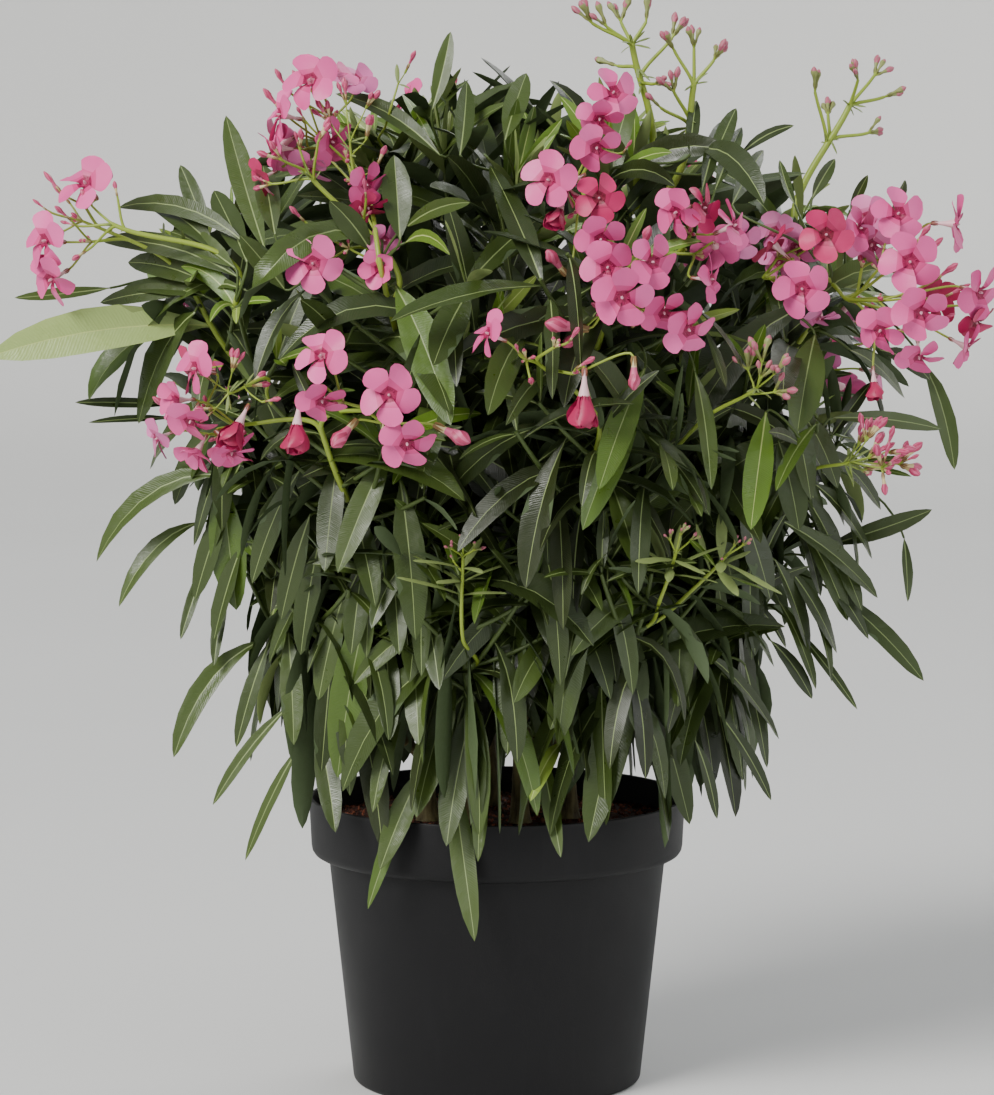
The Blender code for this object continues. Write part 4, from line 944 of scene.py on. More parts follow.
def make_pot():
    band = POT_HEIGHT - BAND_HEIGHT
    low_rim = RIM_RADIUS - BAND_TAPER
    corners = [
        ((0, 0), 0),
        ((BASE_RADIUS, 0), BASE_ROUND),
        ((BODY_TOP_RADIUS, band), STEP_ROUND),
        ((low_rim, band), BAND_ROUND),
        ((RIM_RADIUS, POT_HEIGHT), LIP_ROUND),
        ((RIM_RADIUS - WALL, POT_HEIGHT), LIP_ROUND),
        ((low_rim - WALL, band + WALL), BAND_ROUND),
        ((inner_wall(band), band + WALL), STEP_ROUND),
        ((inner_wall(WALL), WALL), BASE_ROUND),
        ((0, WALL), 0),
    ]
    profile = []
    for i, (corner, radius) in enumerate(corners):
        if radius:
            profile += rounded(corners[i - 1][0], corner, corners[i + 1][0], radius)
        else:
            profile.append(corner)
    pot = add_mesh("pot_moulding", *turned(profile, POT_SIDES), [pot_finish()])
    cutters = []
    for k in range(DRAIN_HOLES):
        cutter = bmesh.new()
        place = Matrix.Translation(outward(360 * k / DRAIN_HOLES + DRAIN_FIRST_BEARING) * DRAIN_CIRCLE)
        size = {"segments": 28, "radius1": DRAIN_RADIUS, "radius2": DRAIN_RADIUS, "depth": 4 * WALL}
        bmesh.ops.create_cone(cutter, cap_ends=True, matrix=place, **size)
        cutters.append(add_mesh(f"cutter_{k}", [], []))
        cutter.to_mesh(cutters[-1].data)
        cutter.free()
        modifier = pot.modifiers.new("hole", "BOOLEAN")
        modifier.operation = "DIFFERENCE"
        modifier.object = cutters[-1]
        modifier.solver = "EXACT"
    keep_modified(pot)
    for cutter in cutters:
        bpy.data.objects.remove(cutter, do_unlink=True)
    pot.data.set_sharp_from_angle(angle=math.radians(35))
    finish_piece(pot, "pot", "pot")


def make_potting_mix(crumbs):
    band = POT_HEIGHT - BAND_HEIGHT
    inner_band = RIM_RADIUS - BAND_TAPER - WALL - GAP
    profile = [
        (0, WALL + GAP),
        (inner_wall(WALL) - BASE_ROUND - GAP, WALL + GAP),
        (inner_wall(WALL + BASE_ROUND) - GAP, WALL + BASE_ROUND + GAP),
        (inner_wall(band) - GAP, band + WALL + GAP),
        (inner_band, band + BAND_ROUND + GAP),
        (inner_band, SOIL_LEVEL - SOIL_DIP),
    ]
    for i in range(1, SOIL_RINGS):
        radius = inner_band * (1 - i / SOIL_RINGS)
        fall = max(radius - SOIL_FLAT_RADIUS, 0) / (inner_band - SOIL_FLAT_RADIUS)
        profile.append((radius, SOIL_LEVEL - SOIL_DIP * fall))
    profile.append((0, SOIL_LEVEL))
    verts, faces = turned(profile, SOIL_SIDES)
    for vert in verts:
        if vert.z > SOIL_LEVEL - SOIL_DIP - 1e-5 and Vector((vert.x, vert.y)).length < inner_band - 1e-4:
            vert.z += sum(noise.noise(vert * close) * high for close, high in SOIL_LUMPS) - SOIL_SETTLES
    mix = add_mesh("potting_mix_bed", verts, faces, [soil_finish("potting_mix", "#2c1a13", "#57352a")])
    finish_piece(mix, "potting_mix", "potting_mix")
    shapes = bpy.data.collections.new("crumb_shapes")
    chance = random.Random("crumbs")
    for k in range(CRUMB_SHAPES):
        bm = bmesh.new()
        bmesh.ops.create_icosphere(bm, subdivisions=1, radius=1)
        squash = (1.0, chance.uniform(0.45, 0.9), chance.uniform(0.25, 0.6))
        for vert in bm.verts:
            vert.co = Vector((vert.co[i] * squash[i] * chance.uniform(0.7, 1.2) for i in range(3)))
        crumb = bpy.data.objects.new(f"crumb_{k}", bpy.data.meshes.new(f"crumb_{k}"))
        bm.to_mesh(crumb.data)
        bm.free()
        give_attribute(crumb.data, "zone", "INT", "FACE", [k % 2] * len(crumb.data.polygons))
        shapes.objects.link(crumb)
    bed = new_object("bark_crumbs", mix.data.copy())
    dark = soil_finish("crumb_dark", "#4a281d", "#6a3d2e")
    light = soil_finish("crumb_red", "#84462f", "#b06a4e")
    grown_mesh(bed, crumbs, {**CRUMBS, "Shapes": shapes, "Dark": dark, "Light": light})
    finish_piece(bed, "potting_mix")


# --- the plan of the plant ----------------------------------------------------------------------------
def plan_masses():
    """One shoot for each mass, by tier: its name, bearing, foot, tip and the directions there."""
    masses = []
    for tier, (count, first, reach, height, lean, length) in TIERS.items():
        for i in range(count):
            name, bearing = f"{tier}_{i + 1}", first + 360 * i / count
            further, higher = STANDS_OUT.get(name, (0, 0))
            mass = {"name": name, "tier": tier, "bearing": bearing}
            mass["tip"] = outward(bearing) * (reach + further) + UP * (height + higher)
            mass["foot"] = mass["tip"] - sloped(bearing, lean) * length
            mass["foot_direction"] = sloped(bearing, lean - SHOOT_BEND)
            mass["tip_direction"] = sloped(bearing, min(lean + SHOOT_BEND, STEEPEST_TIP))
            masses.append(mass)
    return masses


def bearing_between(a, b):
    return abs((a - b + 180) % 360 - 180)


def plan_stems(masses):
    """Deals the masses to the stems by bearing. A stem runs on into its highest mass."""
    stems = []
    for k in range(STEM_COUNT):
        bearing = STEM_FIRST_BEARING + 360 * k / STEM_COUNT
        foot = outward(bearing) * STEM_FOOT_RADII[k % 2] + UP * (SOIL_LEVEL + GAP)
        stems.append({"bearing": bearing, "foot": foot, "masses": []})
    for mass in masses:
        nearest = min(stems, key=lambda stem: bearing_between(stem["bearing"], mass["bearing"]))
        nearest["masses"].append(mass)
    for stem in stems:
        stem["masses"].sort(key=lambda mass: -mass["tip"].z)
    return stems


def stem_path(stem):
    top = stem["masses"][0]
    return smooth_path(stem["foot"], UP, top["foot"], top["foot_direction"], LIMB_STEPS)


def bough_path(path, mass, lowest):
    """A bough that leaves its stem where it can climb evenly to the foot of its mass."""
    foot = mass["foot"]
    run = Vector((foot.x - path[0].x, foot.y - path[0].y)).length
    fork_height = max(foot.z - BOUGH_RISE * run - BOUGH_LEAST_RISE, lowest)
    share = 0.0
    while share < BOUGH_HIGHEST_FORK and point_on(path, share)[0].z < fork_height:
        share += FORK_SEARCH_STEP
    start, stem_direction = point_on(path, share)
    away = (foot - start).normalized()
    leaving = (away + 0.6 * stem_direction).normalized()
    return smooth_path(start, leaving, foot, mass["foot_direction"], LIMB_STEPS)


def plan_twigs(mass):
    """The shoot, its side twigs and its finer twigs, as lines with a radius at each end."""
    foot = mass["foot"] + mass["foot_direction"] * GAP
    main = smooth_path(foot, mass["foot_direction"], mass["tip"], mass["tip_direction"], TWIG_STEPS)
    twigs = [{"kind": "main", "path": main, "radius": LIMB_TIP_RADIUS}]
    whole = (mass["tip"] - foot).length
    chance = random.Random(mass["name"] + " twigs")
    for kind, (size, thick, rows) in TWIGS.items():
        for share, swing in rows:
            start, direction = point_on(main, share)
            swing += chance.uniform(-SWING_SPREAD, SWING_SPREAD)
            hinge = outward(mass["bearing"]).cross(direction).cross(direction)
            leaving = Matrix.Rotation(math.radians(swing), 3, hinge) @ direction
            end_direction = (leaving + 0.5 * UP).normalized()
            end = start + (leaving + end_direction).normalized() * whole * size
            path = smooth_path(start, leaving, end, end_direction, TWIG_STEPS - 1)
            twigs.append({"kind": kind, "path": path, "radius": thick * LIMB_TIP_RADIUS})
    return twigs


def inner_twigs(path, shares, name):
    """Short twigs that stand off a limb inside the crown, turned round it one after another."""
    chance = random.Random(name + " inner")
    turn = chance.uniform(0, 360)
    twigs = []
    for share in shares:
        start, direction = point_on(path, share)
        turn += INNER_TURN
        if start.z < BARE_STEM:
            continue
        spoke = Matrix.Rotation(math.radians(turn), 3, direction) @ across(direction)
        leaving = (direction + 1.3 * spoke).normalized()
        end_direction = (leaving + 0.6 * UP).normalized()
        end = start + (leaving + end_direction).normalized() * INNER_TWIG * chance.uniform(*INNER_SIZES)
        twig = smooth_path(start, leaving, end, end_direction, TWIG_STEPS - 1)
        twigs.append({"kind": "inner", "path": twig, "radius": 0.5 * LIMB_TIP_RADIUS})
    return twigs


# --- leaves -------------------------------------------------------------------------------------------
def plan_leaves(mass, twig):
    """Whorls of three down a twig; young leaves stand, old ones spread and hang."""
    chance = random.Random(f"{mass['name']} leaves {mass['twigs'].index(twig)}")
    count = WHORLS[twig["kind"]]
    youngest, oldest, bend = HABITS[mass["tier"]]
    path = twig["path"]
    total = sum((b - a).length for a, b in zip(path, path[1:]))
    phase = chance.uniform(0, 360)
    below_tip = TOP_WHORL
    leaves = []
    for j in range(count):
        age = j / (count - 1)
        share = 1 - below_tip / total
        below_tip += WHORL_SPACING[0] + (WHORL_SPACING[1] - WHORL_SPACING[0]) * age**AGE_POWER
        if share < LOWEST_WHORL:
            break
        root, direction = point_on(path, share)
        side = across(direction)
        for k in range(LEAVES_PER_WHORL):
            turn = phase + 360 * k / LEAVES_PER_WHORL + 180 * j / LEAVES_PER_WHORL
            turn += chance.uniform(-TURN_SPREAD, TURN_SPREAD)
            spoke = Matrix.Rotation(math.radians(turn), 3, direction) @ side
            angle = youngest + (oldest - youngest) * age**AGE_POWER
            angle = math.radians(angle + chance.uniform(-ANGLE_SPREAD, ANGLE_SPREAD))
            grown = min(1, YOUNG_LEAF + (1 - YOUNG_LEAF) * age * 2.4)
            leaf = {"root": root, "share": share, "twig_direction": direction, "age": age}
            leaf["direction"] = direction * math.cos(angle) + spoke * math.sin(angle)
            leaf["length"] = LEAF_LENGTH * grown * chance.uniform(*LENGTH_SIZES)
            leaf["droop"] = bend * (0.25 + 0.95 * age) * chance.uniform(*DROOP_SIZES)
            leaf["roll"] = math.radians(chance.uniform(-ROLL_SPREAD, ROLL_SPREAD))
            leaves.append(leaf)
    return leaves


def long_leaf(mass, share, tip):
    """The leaf that runs from the shoot to a given tip, with a little sag."""
    root, direction = point_on(mass["twigs"][0]["path"], share)
    run = Vector(tip) - root
    leaf = {"root": root, "twig_direction": direction, "roll": 0.0, "age": 1.0, "tone": len(LEAF_TONES) - 1}
    leaf.update({"direction": (run.normalized() + 0.16 * UP).normalized(), "length": run.length * 1.01})
    leaf.update({"side": Vector((0, -0.45, -1)), "width": LEAF_WIDTHS[1], "droop": 0.35})
    leaf["line"] = leaf_line(leaf)
    return leaf


def leaf_line(leaf):
    """Points along a leaf that leaves its twig and bends under its own weight."""
    direction, step = leaf["direction"], leaf["length"] / LEAF_STEPS
    points = [leaf["root"]]
    for _ in range(LEAF_STEPS):
        direction = (direction - UP * leaf["droop"] / LEAF_STEPS).normalized()
        points.append(points[-1] + direction * step)
    return points


def outline_at(height):
    """How far out the leaves reach at a height, and how far that outline is set to the right."""
    heights, reaches, shifts = zip(*ENVELOPE)
    return np.interp(height, heights, reaches), np.interp(height, heights, shifts)


def on_front(right, down, share):
    """The point on the crown's front, or at a share of its depth, that the camera sees there."""
    depth = -0.1
    for _ in range(4):
        place = in_view(right, down, depth)
        reach, shift = outline_at(place.z)
        depth = -math.sqrt(max(reach**2 - (place.x - shift) ** 2, 0.06**2)) * share
    return in_view(right, down, depth)


def nearest_root(masses, foot, from_below=0.0):
    """The twig point nearest to a place, or near and below it, with the twig's direction and its mass."""
    found = []
    for mass in masses:
        for twig in mass["twigs"]:
            for share in ROOT_SHARES:
                root, direction = point_on(twig["path"], share)
                far = (root - foot).length + from_below * max(root.z - foot.z + 0.02, 0)
                found.append((far, root, direction, mass))
    return min(found, key=lambda row: row[0])[1:]


def aimed_leaf(masses, tip, foot, droop):
    """A leaf between a given foot and tip, its face turned out and to the front, the fine twig to its foot,
    and the mass that the twig stands on."""
    root, direction, owner = nearest_root(masses, foot)
    aim = tip - foot
    twig = smooth_path(root, direction, foot, aim.normalized(), 6, 0.8)
    face = ((foot + tip) / 2 * Vector((1, 1, 0))).normalized() * 0.3 + Vector((0, -0.85, 0.45))
    leaf = {"root": foot, "twig_direction": face, "droop": droop, "roll": 0.0, "age": 0.8}
    for _ in range(AIMING_STEPS):
        leaf["direction"], leaf["length"] = aim.normalized(), aim.length
        leaf["line"] = leaf_line(leaf)
        aim += 0.8 * (tip - leaf["line"][-1])
    return leaf, twig, owner


def within_envelope(leaf, spare):
    """Bends a leaf down and shortens it until its tip is inside the crown's outline. True if that works."""
    for _ in range(ENVELOPE_TRIES):
        leaf["line"] = leaf_line(leaf)
        tip = leaf["line"][-1]
        reach, shift = outline_at(tip.z)
        if math.hypot(tip.x - shift, tip.y) < reach + spare:
            return True
        leaf["length"] *= TRY_SHORTER
        leaf["droop"] += TRY_LIMPER
    return False


class Flowers:
    """Where the open blooms are, to keep the leaves off them."""

    def __init__(self, blooms):
        places, facings = zip(*blooms)
        self.place, self.facing = array_of(places), array_of(facings)

    def are_clear_of(self, line, reach=BLOOM_SIGHT, room=BLOOM_ROOM):
        """True if the line stays out of the round space before each bloom, of that reach and radius."""
        away = array_of(line)[:, None, :] - self.place
        ahead = (away * self.facing).sum(2)
        aside = np.linalg.norm(away - ahead[..., None] * self.facing, axis=2)
        return not ((ahead > -BLOOM_BACK) & (ahead < reach) & (aside < room)).any()

    def show_past(self, line):
        """True if the line hides none of those that face the front."""
        away = array_of(line)[:, None, :] - self.place[self.facing[:, 1] < -0.2]
        return not ((away[..., 1] < 0.01) & (np.hypot(away[..., 0], away[..., 2]) < BLOOM_HEART)).any()


def away_from_pot(points):
    for point in points:
        out = Vector((point.x, point.y)).length
        if point.z < LOWEST_LEAF:
            return False
        if point.z < POT_HEIGHT + RIM_CLEARANCE and out < RIM_RADIUS + RIM_CLEARANCE:
            return False
    return True


class Spaces:
    """Every main and side twig as straight pieces with their owners, to say whose space a point is in."""

    def __init__(self, masses):
        starts, ends, owners = [], [], []
        for i, mass in enumerate(masses):
            for twig in mass["twigs"]:
                if twig["kind"] in ("main", "side"):
                    starts += twig["path"][:-1]
                    ends += twig["path"][1:]
                    owners += [i] * (len(twig["path"]) - 1)
        self.start, self.owner = array_of(starts), np.array(owners)
        self.step = array_of(b - a for a, b in zip(starts, ends))

    def is_own(self, points, index):
        """True if each point is nearly as near to its own mass's twigs as to any other's."""
        away = array_of(points)[:, None, :] - self.start
        share = np.clip((away * self.step).sum(2) / (self.step**2).sum(1), 0, 1)
        distance = np.linalg.norm(away - share[..., None] * self.step, axis=2)
        own = distance[:, self.owner == index].min(1)
        other = distance[:, self.owner != index].min(1)
        return bool((other >= own - OWN_SPACE_MARGIN).all())


def leaf_tone(leaf, spray, high, chance):
    """The young leaves of high shoots are light; the others take their spray's tone, a step up or down."""
    if leaf["age"] < YOUNG_AGE and high:
        return FIRST_LIGHT_TONE + (chance.random() < PALEST_YOUNG)
    value = spray + chance.uniform(-TONE_SPREAD, TONE_SPREAD) + (1.0 if leaf["age"] < 0.5 else 0)
    return int(min(max(round(value), 0), FIRST_LIGHT_TONE))


def unit(vectors):
    """The directions of an array of vectors."""
    return vectors / np.linalg.norm(vectors, axis=-1, keepdims=True)


def leaf_rings(leaves, chance):
    """The places of every leaf's rings and tip, by leaf, ring and side."""
    lines = np.array([array_of(leaf["line"]) for leaf in leaves])
    shares, widths = np.array(LEAF_OUTLINE).T
    low = (shares * LEAF_STEPS).astype(int)
    rest = (shares * LEAF_STEPS - low)[:, None]

    def at_rings(values):
        return values[:, low] + (values[:, low + 1] - values[:, low]) * rest

    def each(low_value, high_value):
        return np.array([chance.uniform(low_value, high_value) for _ in leaves])[:, None]

    def waves():
        high = each(*LEAF_WAVES)
        crests = np.sin(each(*WAVE_CLOSENESS) * shares + each(0, FULL_TURN))
        return high * crests * np.minimum(shares * 4, 1)

    middle = at_rings(lines)
    direction = unit(at_rings(np.gradient(lines, axis=1)))
    side = array_of(leaf.get("side") or leaf["twig_direction"].cross(leaf["direction"]) for leaf in leaves)
    side = side[:, None, :]
    side = unit(side - direction * (side * direction).sum(2, keepdims=True))
    above = np.cross(direction, side)
    roll = np.array([leaf["roll"] for leaf in leaves])[:, None] * np.minimum(shares / 0.45, 1.2)
    roll = (roll + each(-LEAF_TWIST, LEAF_TWIST) * shares)[..., None]
    side, above = side * np.cos(roll) + above * np.sin(roll), above * np.cos(roll) - side * np.sin(roll)
    length = np.array([leaf["length"] for leaf in leaves])[:, None]
    broad = each(*LEAF_WIDTHS)
    broad = np.array([[leaf.get("width", share)] for leaf, (share,) in zip(leaves, broad)])
    half = length * broad * widths / 2
    sway = each(-LEAF_SWAY, LEAF_SWAY) * length * shares**2
    fold = each(*LEAF_FOLDS)
    wave, other_wave = waves(), waves()
    rib = np.minimum(RIB_HALF[0] + (RIB_HALF[1] - RIB_HALF[0]) * shares, 0.5 * half)
    inner, outer = 0.62 * fold * half, 0.85 * fold * half
    columns = (
        (-half, outer + wave * half),
        (-LEAF_MIDDLE * half, inner + 0.5 * wave * half),
        (-rib, 0 * half),
        (rib, 0 * half),
        (LEAF_MIDDLE * half, inner + 0.5 * other_wave * half),
        (half, outer + other_wave * half),
        (0 * half, -np.minimum(KEEL, 0.8 * half)),
    )
    rings = [middle + side * (to + sway)[..., None] + above * height[..., None] for to, height in columns]
    tips = lines[:, -1] + side[:, -1] * sway[:, -1:]
    return np.concatenate([np.stack(rings, axis=2).reshape(len(leaves), -1, 3), tips[:, None, :]], axis=1)


def make_leaves(name, leaves, finishes, nodes):
    """All leaves of a tier in one mesh: each a closed blade with a pale midrib and a keel beneath."""
    rows, sides = len(LEAF_OUTLINE), BLADE_SIDES
    verts = leaf_rings(leaves, random.Random(name))
    tip = rows * sides
    per_leaf = tip + 1
    around = [(k, (k + 1) % sides) for k in range(sides)]
    starts = [sides * r for r in range(rows)]
    shape = [(a + k, b + k, b + n, a + n) for a, b in zip(starts, starts[1:]) for k, n in around]
    shape += [(starts[-1] + k, tip, starts[-1] + n) for k, n in around] + [tuple(range(sides))]
    top, ribs = len(LEAF_TONES), len(RIB_TONES)
    faces, slots = [], []
    for i, leaf in enumerate(leaves):
        faces += [tuple(i * per_leaf + v for v in face) for face in shape]
        blade, light = leaf["tone"], leaf["tone"] >= FIRST_LIGHT_TONE
        rib, under = top + light, top + ribs + light
        slots += [blade, blade, rib, blade, blade, under, under] * rows + [under]
    obj = add_mesh(name, verts.reshape(-1, 3), faces, finishes)
    mesh = obj.data
    mesh.polygons.foreach_set("material_index", slots)
    over = np.array([-1, -LEAF_MIDDLE, -0.05, 0.05, LEAF_MIDDLE, 1, 0])
    shares = [share for share, _ in LEAF_OUTLINE]
    flat = np.stack(np.meshgrid(shares, 0.5 + over / 2, indexing="ij"), axis=2).reshape(-1, 2)
    flat = np.tile(np.concatenate([flat, [[1.0, 0.5]]]), (len(leaves), 1))
    corner = np.empty(len(mesh.loops), dtype=np.int32)
    mesh.loops.foreach_get("vertex_index", corner)
    mesh.uv_layers.new(name="blade").data.foreach_set("uv", flat[corner].ravel())
    ends = np.empty(len(mesh.edges) * 2, dtype=np.int32)
    mesh.edges.foreach_get("vertices", ends)
    local = ends.reshape(-1, 2) % per_leaf
    column = np.where(local == tip, -1, local % sides)
    first, second = column.min(1), column.max(1)
    sharp = np.isin(second, (0, 5)) & ((first == second) | (first == -1))
    give_attribute(mesh, "sharp_edge", "BOOLEAN", "EDGE", sharp)
    finish_piece(obj, "foliage", *nodes)


# --- limbs --------------------------------------------------------------------------------------------
def make_limbs(name, lines, tree, finish, slot, nodes=()):
    """One mesh from many lines, each (points, radius at its start, radius at its end, flare)."""
    verts, edges, radii = [], [], []
    for points, start, end, flare in lines:
        first, last = len(verts), len(points) - 1
        verts += points
        edges += [(first + i, first + i + 1) for i in range(last)]
        for i in range(last + 1):
            share = i / last
            radii.append((start + (end - start) * share) * (1 + (flare - 1) * max(1 - share * 7, 0) ** 2))
    obj = new_object(name, new_mesh(name, verts, edges))
    give_attribute(obj.data, "radius", "FLOAT", "POINT", radii)
    sizes = zip(("Sides", "Spacing", "Relief", "Relief Size", "Ring Spacing", "Ring Swell"), LIMB_LOOKS[name])
    grown_mesh(obj, tree, {**dict(sizes), "Finish": finish})
    finish_piece(obj, slot, *nodes)


# --- blossom ------------------------------------------------------------------------------------------
def petal_line(openness, curl):
    """A petal's middle line in its own plane: distance out, height and slope at each row of its outline."""
    rows = []
    out, height, before = 0.10, 0.0, 0.0
    for share, _ in PETAL_OUTLINE:
        slope = openness + (1.15 - openness) * max(1 - share * 3.2, 0) - curl * share
        step = (share - before) * 0.93
        out += step * math.cos(slope)
        height += step * math.sin(slope)
        before = share
        rows.append((out, height, slope))
    return rows


class Shape:
    """A small shape that is dealt many times over, with a zone number for each face."""

    def __init__(self):
        self.verts, self.faces, self.zones = [], [], []

    def add_rings(self, rings, zone_of):
        """Closed rings of points joined into a skin, its two ends closed; zone_of(row, column)."""
        start, sides = len(self.verts), len(rings[0])
        for ring in rings:
            self.verts += ring
        for i in range(len(rings) - 1):
            for k in range(sides):
                n = (k + 1) % sides
                a, b = start + i * sides, start + (i + 1) * sides
                self.faces.append((a + k, a + n, b + n, b + k))
                self.zones.append(zone_of(i, k))
        last = start + (len(rings) - 1) * sides
        self.faces.append(tuple(start + k for k in reversed(range(sides))))
        self.faces.append(tuple(last + k for k in range(sides)))
        self.zones += [zone_of(0, sides - 1), zone_of(len(rings) - 2, sides - 1)]

    def add_sepals(self, rows, zone):
        """Five pointed sepals round the axis, from rows of radius, height and half width."""
        for s in range(5):
            turn = Matrix.Rotation(2 * math.pi * (s + 0.5) / 5, 3, "Z")
            rings = []
            for radius, height, half in rows:
                rim = [(radius, -half, height), (radius, half, height), (radius * 0.72, 0, height)]
                rings.append([turn @ Vector(point) for point in rim])
            self.add_rings(rings, lambda row, column: zone)

    def finished(self, name):
        mesh = new_mesh(name, self.verts, (), self.faces)
        give_attribute(mesh, "zone", "INT", "FACE", self.zones)
        bm = bmesh.new()
        bm.from_mesh(mesh)
        bmesh.ops.recalc_face_normals(bm, faces=bm.faces)
        bm.to_mesh(mesh)
        bm.free()
        mesh.set_sharp_from_angle(angle=math.radians(60))
        return bpy.data.objects.new(name, mesh)


def circle(radius, height, sides, turn=0.0):
    angles = [2 * math.pi * k / sides + turn for k in range(sides)]
    return [Vector((radius * math.cos(a), radius * math.sin(a), height)) for a in angles]


def petal_ring(share, half, slope, place, bend, chance):
    """The points round a petal at one row of its outline: five on its face and three on its back."""
    (out, height), (tilt, cup) = place, bend
    along = Vector((math.cos(slope), 0, math.sin(slope)))
    normal = Vector((-math.sin(slope), 0, math.cos(slope)))
    ring = []
    for v in (-1, -0.5, 0, 0.5, 1):
        edge = chance.uniform(-0.012, 0.020) if abs(v) == 1 and share > 0.3 else 0
        point = Vector((out, v * half + 0.09 * share**1.5, height))
        point += normal * (tilt * v * half + cup * v * v * half + edge)
        ring.append(point - along * (0.12 * v * v * half if share > 0.6 else 0))
    return ring + [ring[3] - normal * 0.030, ring[2] - normal * 0.042, ring[1] - normal * 0.030]


def bloom_shape(name, openness, curl, seed):
    """One bloom of radius 1 that faces +Z. Zones: 0 throat, 1 inner, 2 blush, 3 main, 4 outer, 5 back of the
    petals, 6 tube, 7 calyx, 8 heart."""
    chance = random.Random(seed)
    shape = Shape()
    closing = max(openness - 0.4, 0)
    for p in range(PETALS):
        turn = Matrix.Rotation(2 * math.pi * p / PETALS + chance.uniform(-0.07, 0.07), 3, "Z")
        broad = chance.uniform(*PETAL_SIZES)
        bend = (chance.uniform(*PETAL_TILTS), chance.uniform(*PETAL_CUPS) + 0.65 * closing)
        line = petal_line(openness + chance.uniform(*PETAL_OPENINGS), curl + chance.uniform(*PETAL_CURLS))
        rings = []
        for (share, half), (out, height, slope) in zip(PETAL_OUTLINE, line):
            ring = petal_ring(share, half * broad, slope, (out, height), bend, chance)
            rings.append([turn @ point for point in ring])
        face = chance.choice((3, 3, 4))
        by_row = (0, 2, face, face, face, face, face)
        shape.add_rings(rings, lambda row, column: by_row[row] if column < 4 else 5)
    length = BLOOM_TUBE / BLOOM_RADIUS
    tube = [(0.045, -length), (0.055, -0.75 * length), (0.085, -0.45 * length), (0.14, -0.12), (0.17, 0.02)]
    shape.add_rings([circle(*row, 8) for row in tube], lambda row, column: 6)
    shape.zones[-1] = 0
    heart = ((0.055, 0.00), (0.05, 0.10), (0.018, 0.17))
    shape.add_rings([circle(*row, 5) for row in heart], lambda row, column: 8)
    for k in range(PETALS):
        turn = Matrix.Rotation(2 * math.pi * (k + 0.5) / PETALS, 3, "Z")
        for aside in (-0.055, 0.0, 0.055):
            a = len(shape.verts)
            foot, top = Vector((0.13, aside, 0.0)), Vector((0.21, aside * 1.9, 0.14))
            feet = [foot + Vector(to) for to in ((0, -0.022, 0), (0, 0.022, 0), (0.03, 0, -0.01))]
            shape.verts += [turn @ point for point in (*feet, top)]
            shape.faces += [(a, a + 1, a + 3), (a + 1, a + 2, a + 3), (a + 2, a, a + 3), (a, a + 2, a + 1)]
            shape.zones += [1 if aside else 0] * 4
    foot = -length - 0.02
    shape.add_sepals(((0.06, foot, 0.035), (0.085, foot + 0.10, 0.03), (0.075, foot + 0.24, 0.004)), 7)
    return shape.finished(name)


def bud_shape(name, fat, twist, pink_from):
    """A bud of length 1 that points to +Z, furled in a spiral. Zones: 0 foot, 1 pink, 2 deep, 3 calyx."""
    shape = Shape()
    rings = []
    for share, width in BUD_OUTLINE:
        ring = circle(fat * width, share, 10, twist * max(share - FURL_FROM, 0))
        if share > FURL_FROM:
            for k in range(1, 10, 2):
                ring[k] = Vector((ring[k].x * 0.84, ring[k].y * 0.84, ring[k].z))
        rings.append(ring)

    def zone_of(row, column):
        share = BUD_OUTLINE[row + 1][0]
        return 0 if share < pink_from else (1 if column % 2 == 0 or share < 0.6 else 2)

    shape.add_rings(rings, zone_of)
    rows = ((0.34, -0.03, 0.22), (0.50, 0.10, 0.20), (0.46, 0.26, 0.02))
    shape.add_sepals([(radius * fat, height, half * fat) for radius, height, half in rows], 3)
    return shape.finished(name)


def deal(name, rows, tree, shapes, finishes):
    """A piece from rows of (place, facing, spin, size, kind)."""
    places, facings, *columns = zip(*rows)
    obj = new_object(name, new_mesh(name, places))
    give_attribute(obj.data, "facing", "FLOAT_VECTOR", "POINT", [tuple(facing) for facing in facings])
    for label, kind, column in zip(("spin", "size", "kind"), ("FLOAT", "FLOAT", "INT"), columns):
        give_attribute(obj.data, label, kind, "POINT", column)
    values = {"Shapes": shapes, **{f"Zone {k}": finish for k, finish in enumerate(finishes)}}
    grown_mesh(obj, tree, values)
    finish_piece(obj, "foliage")


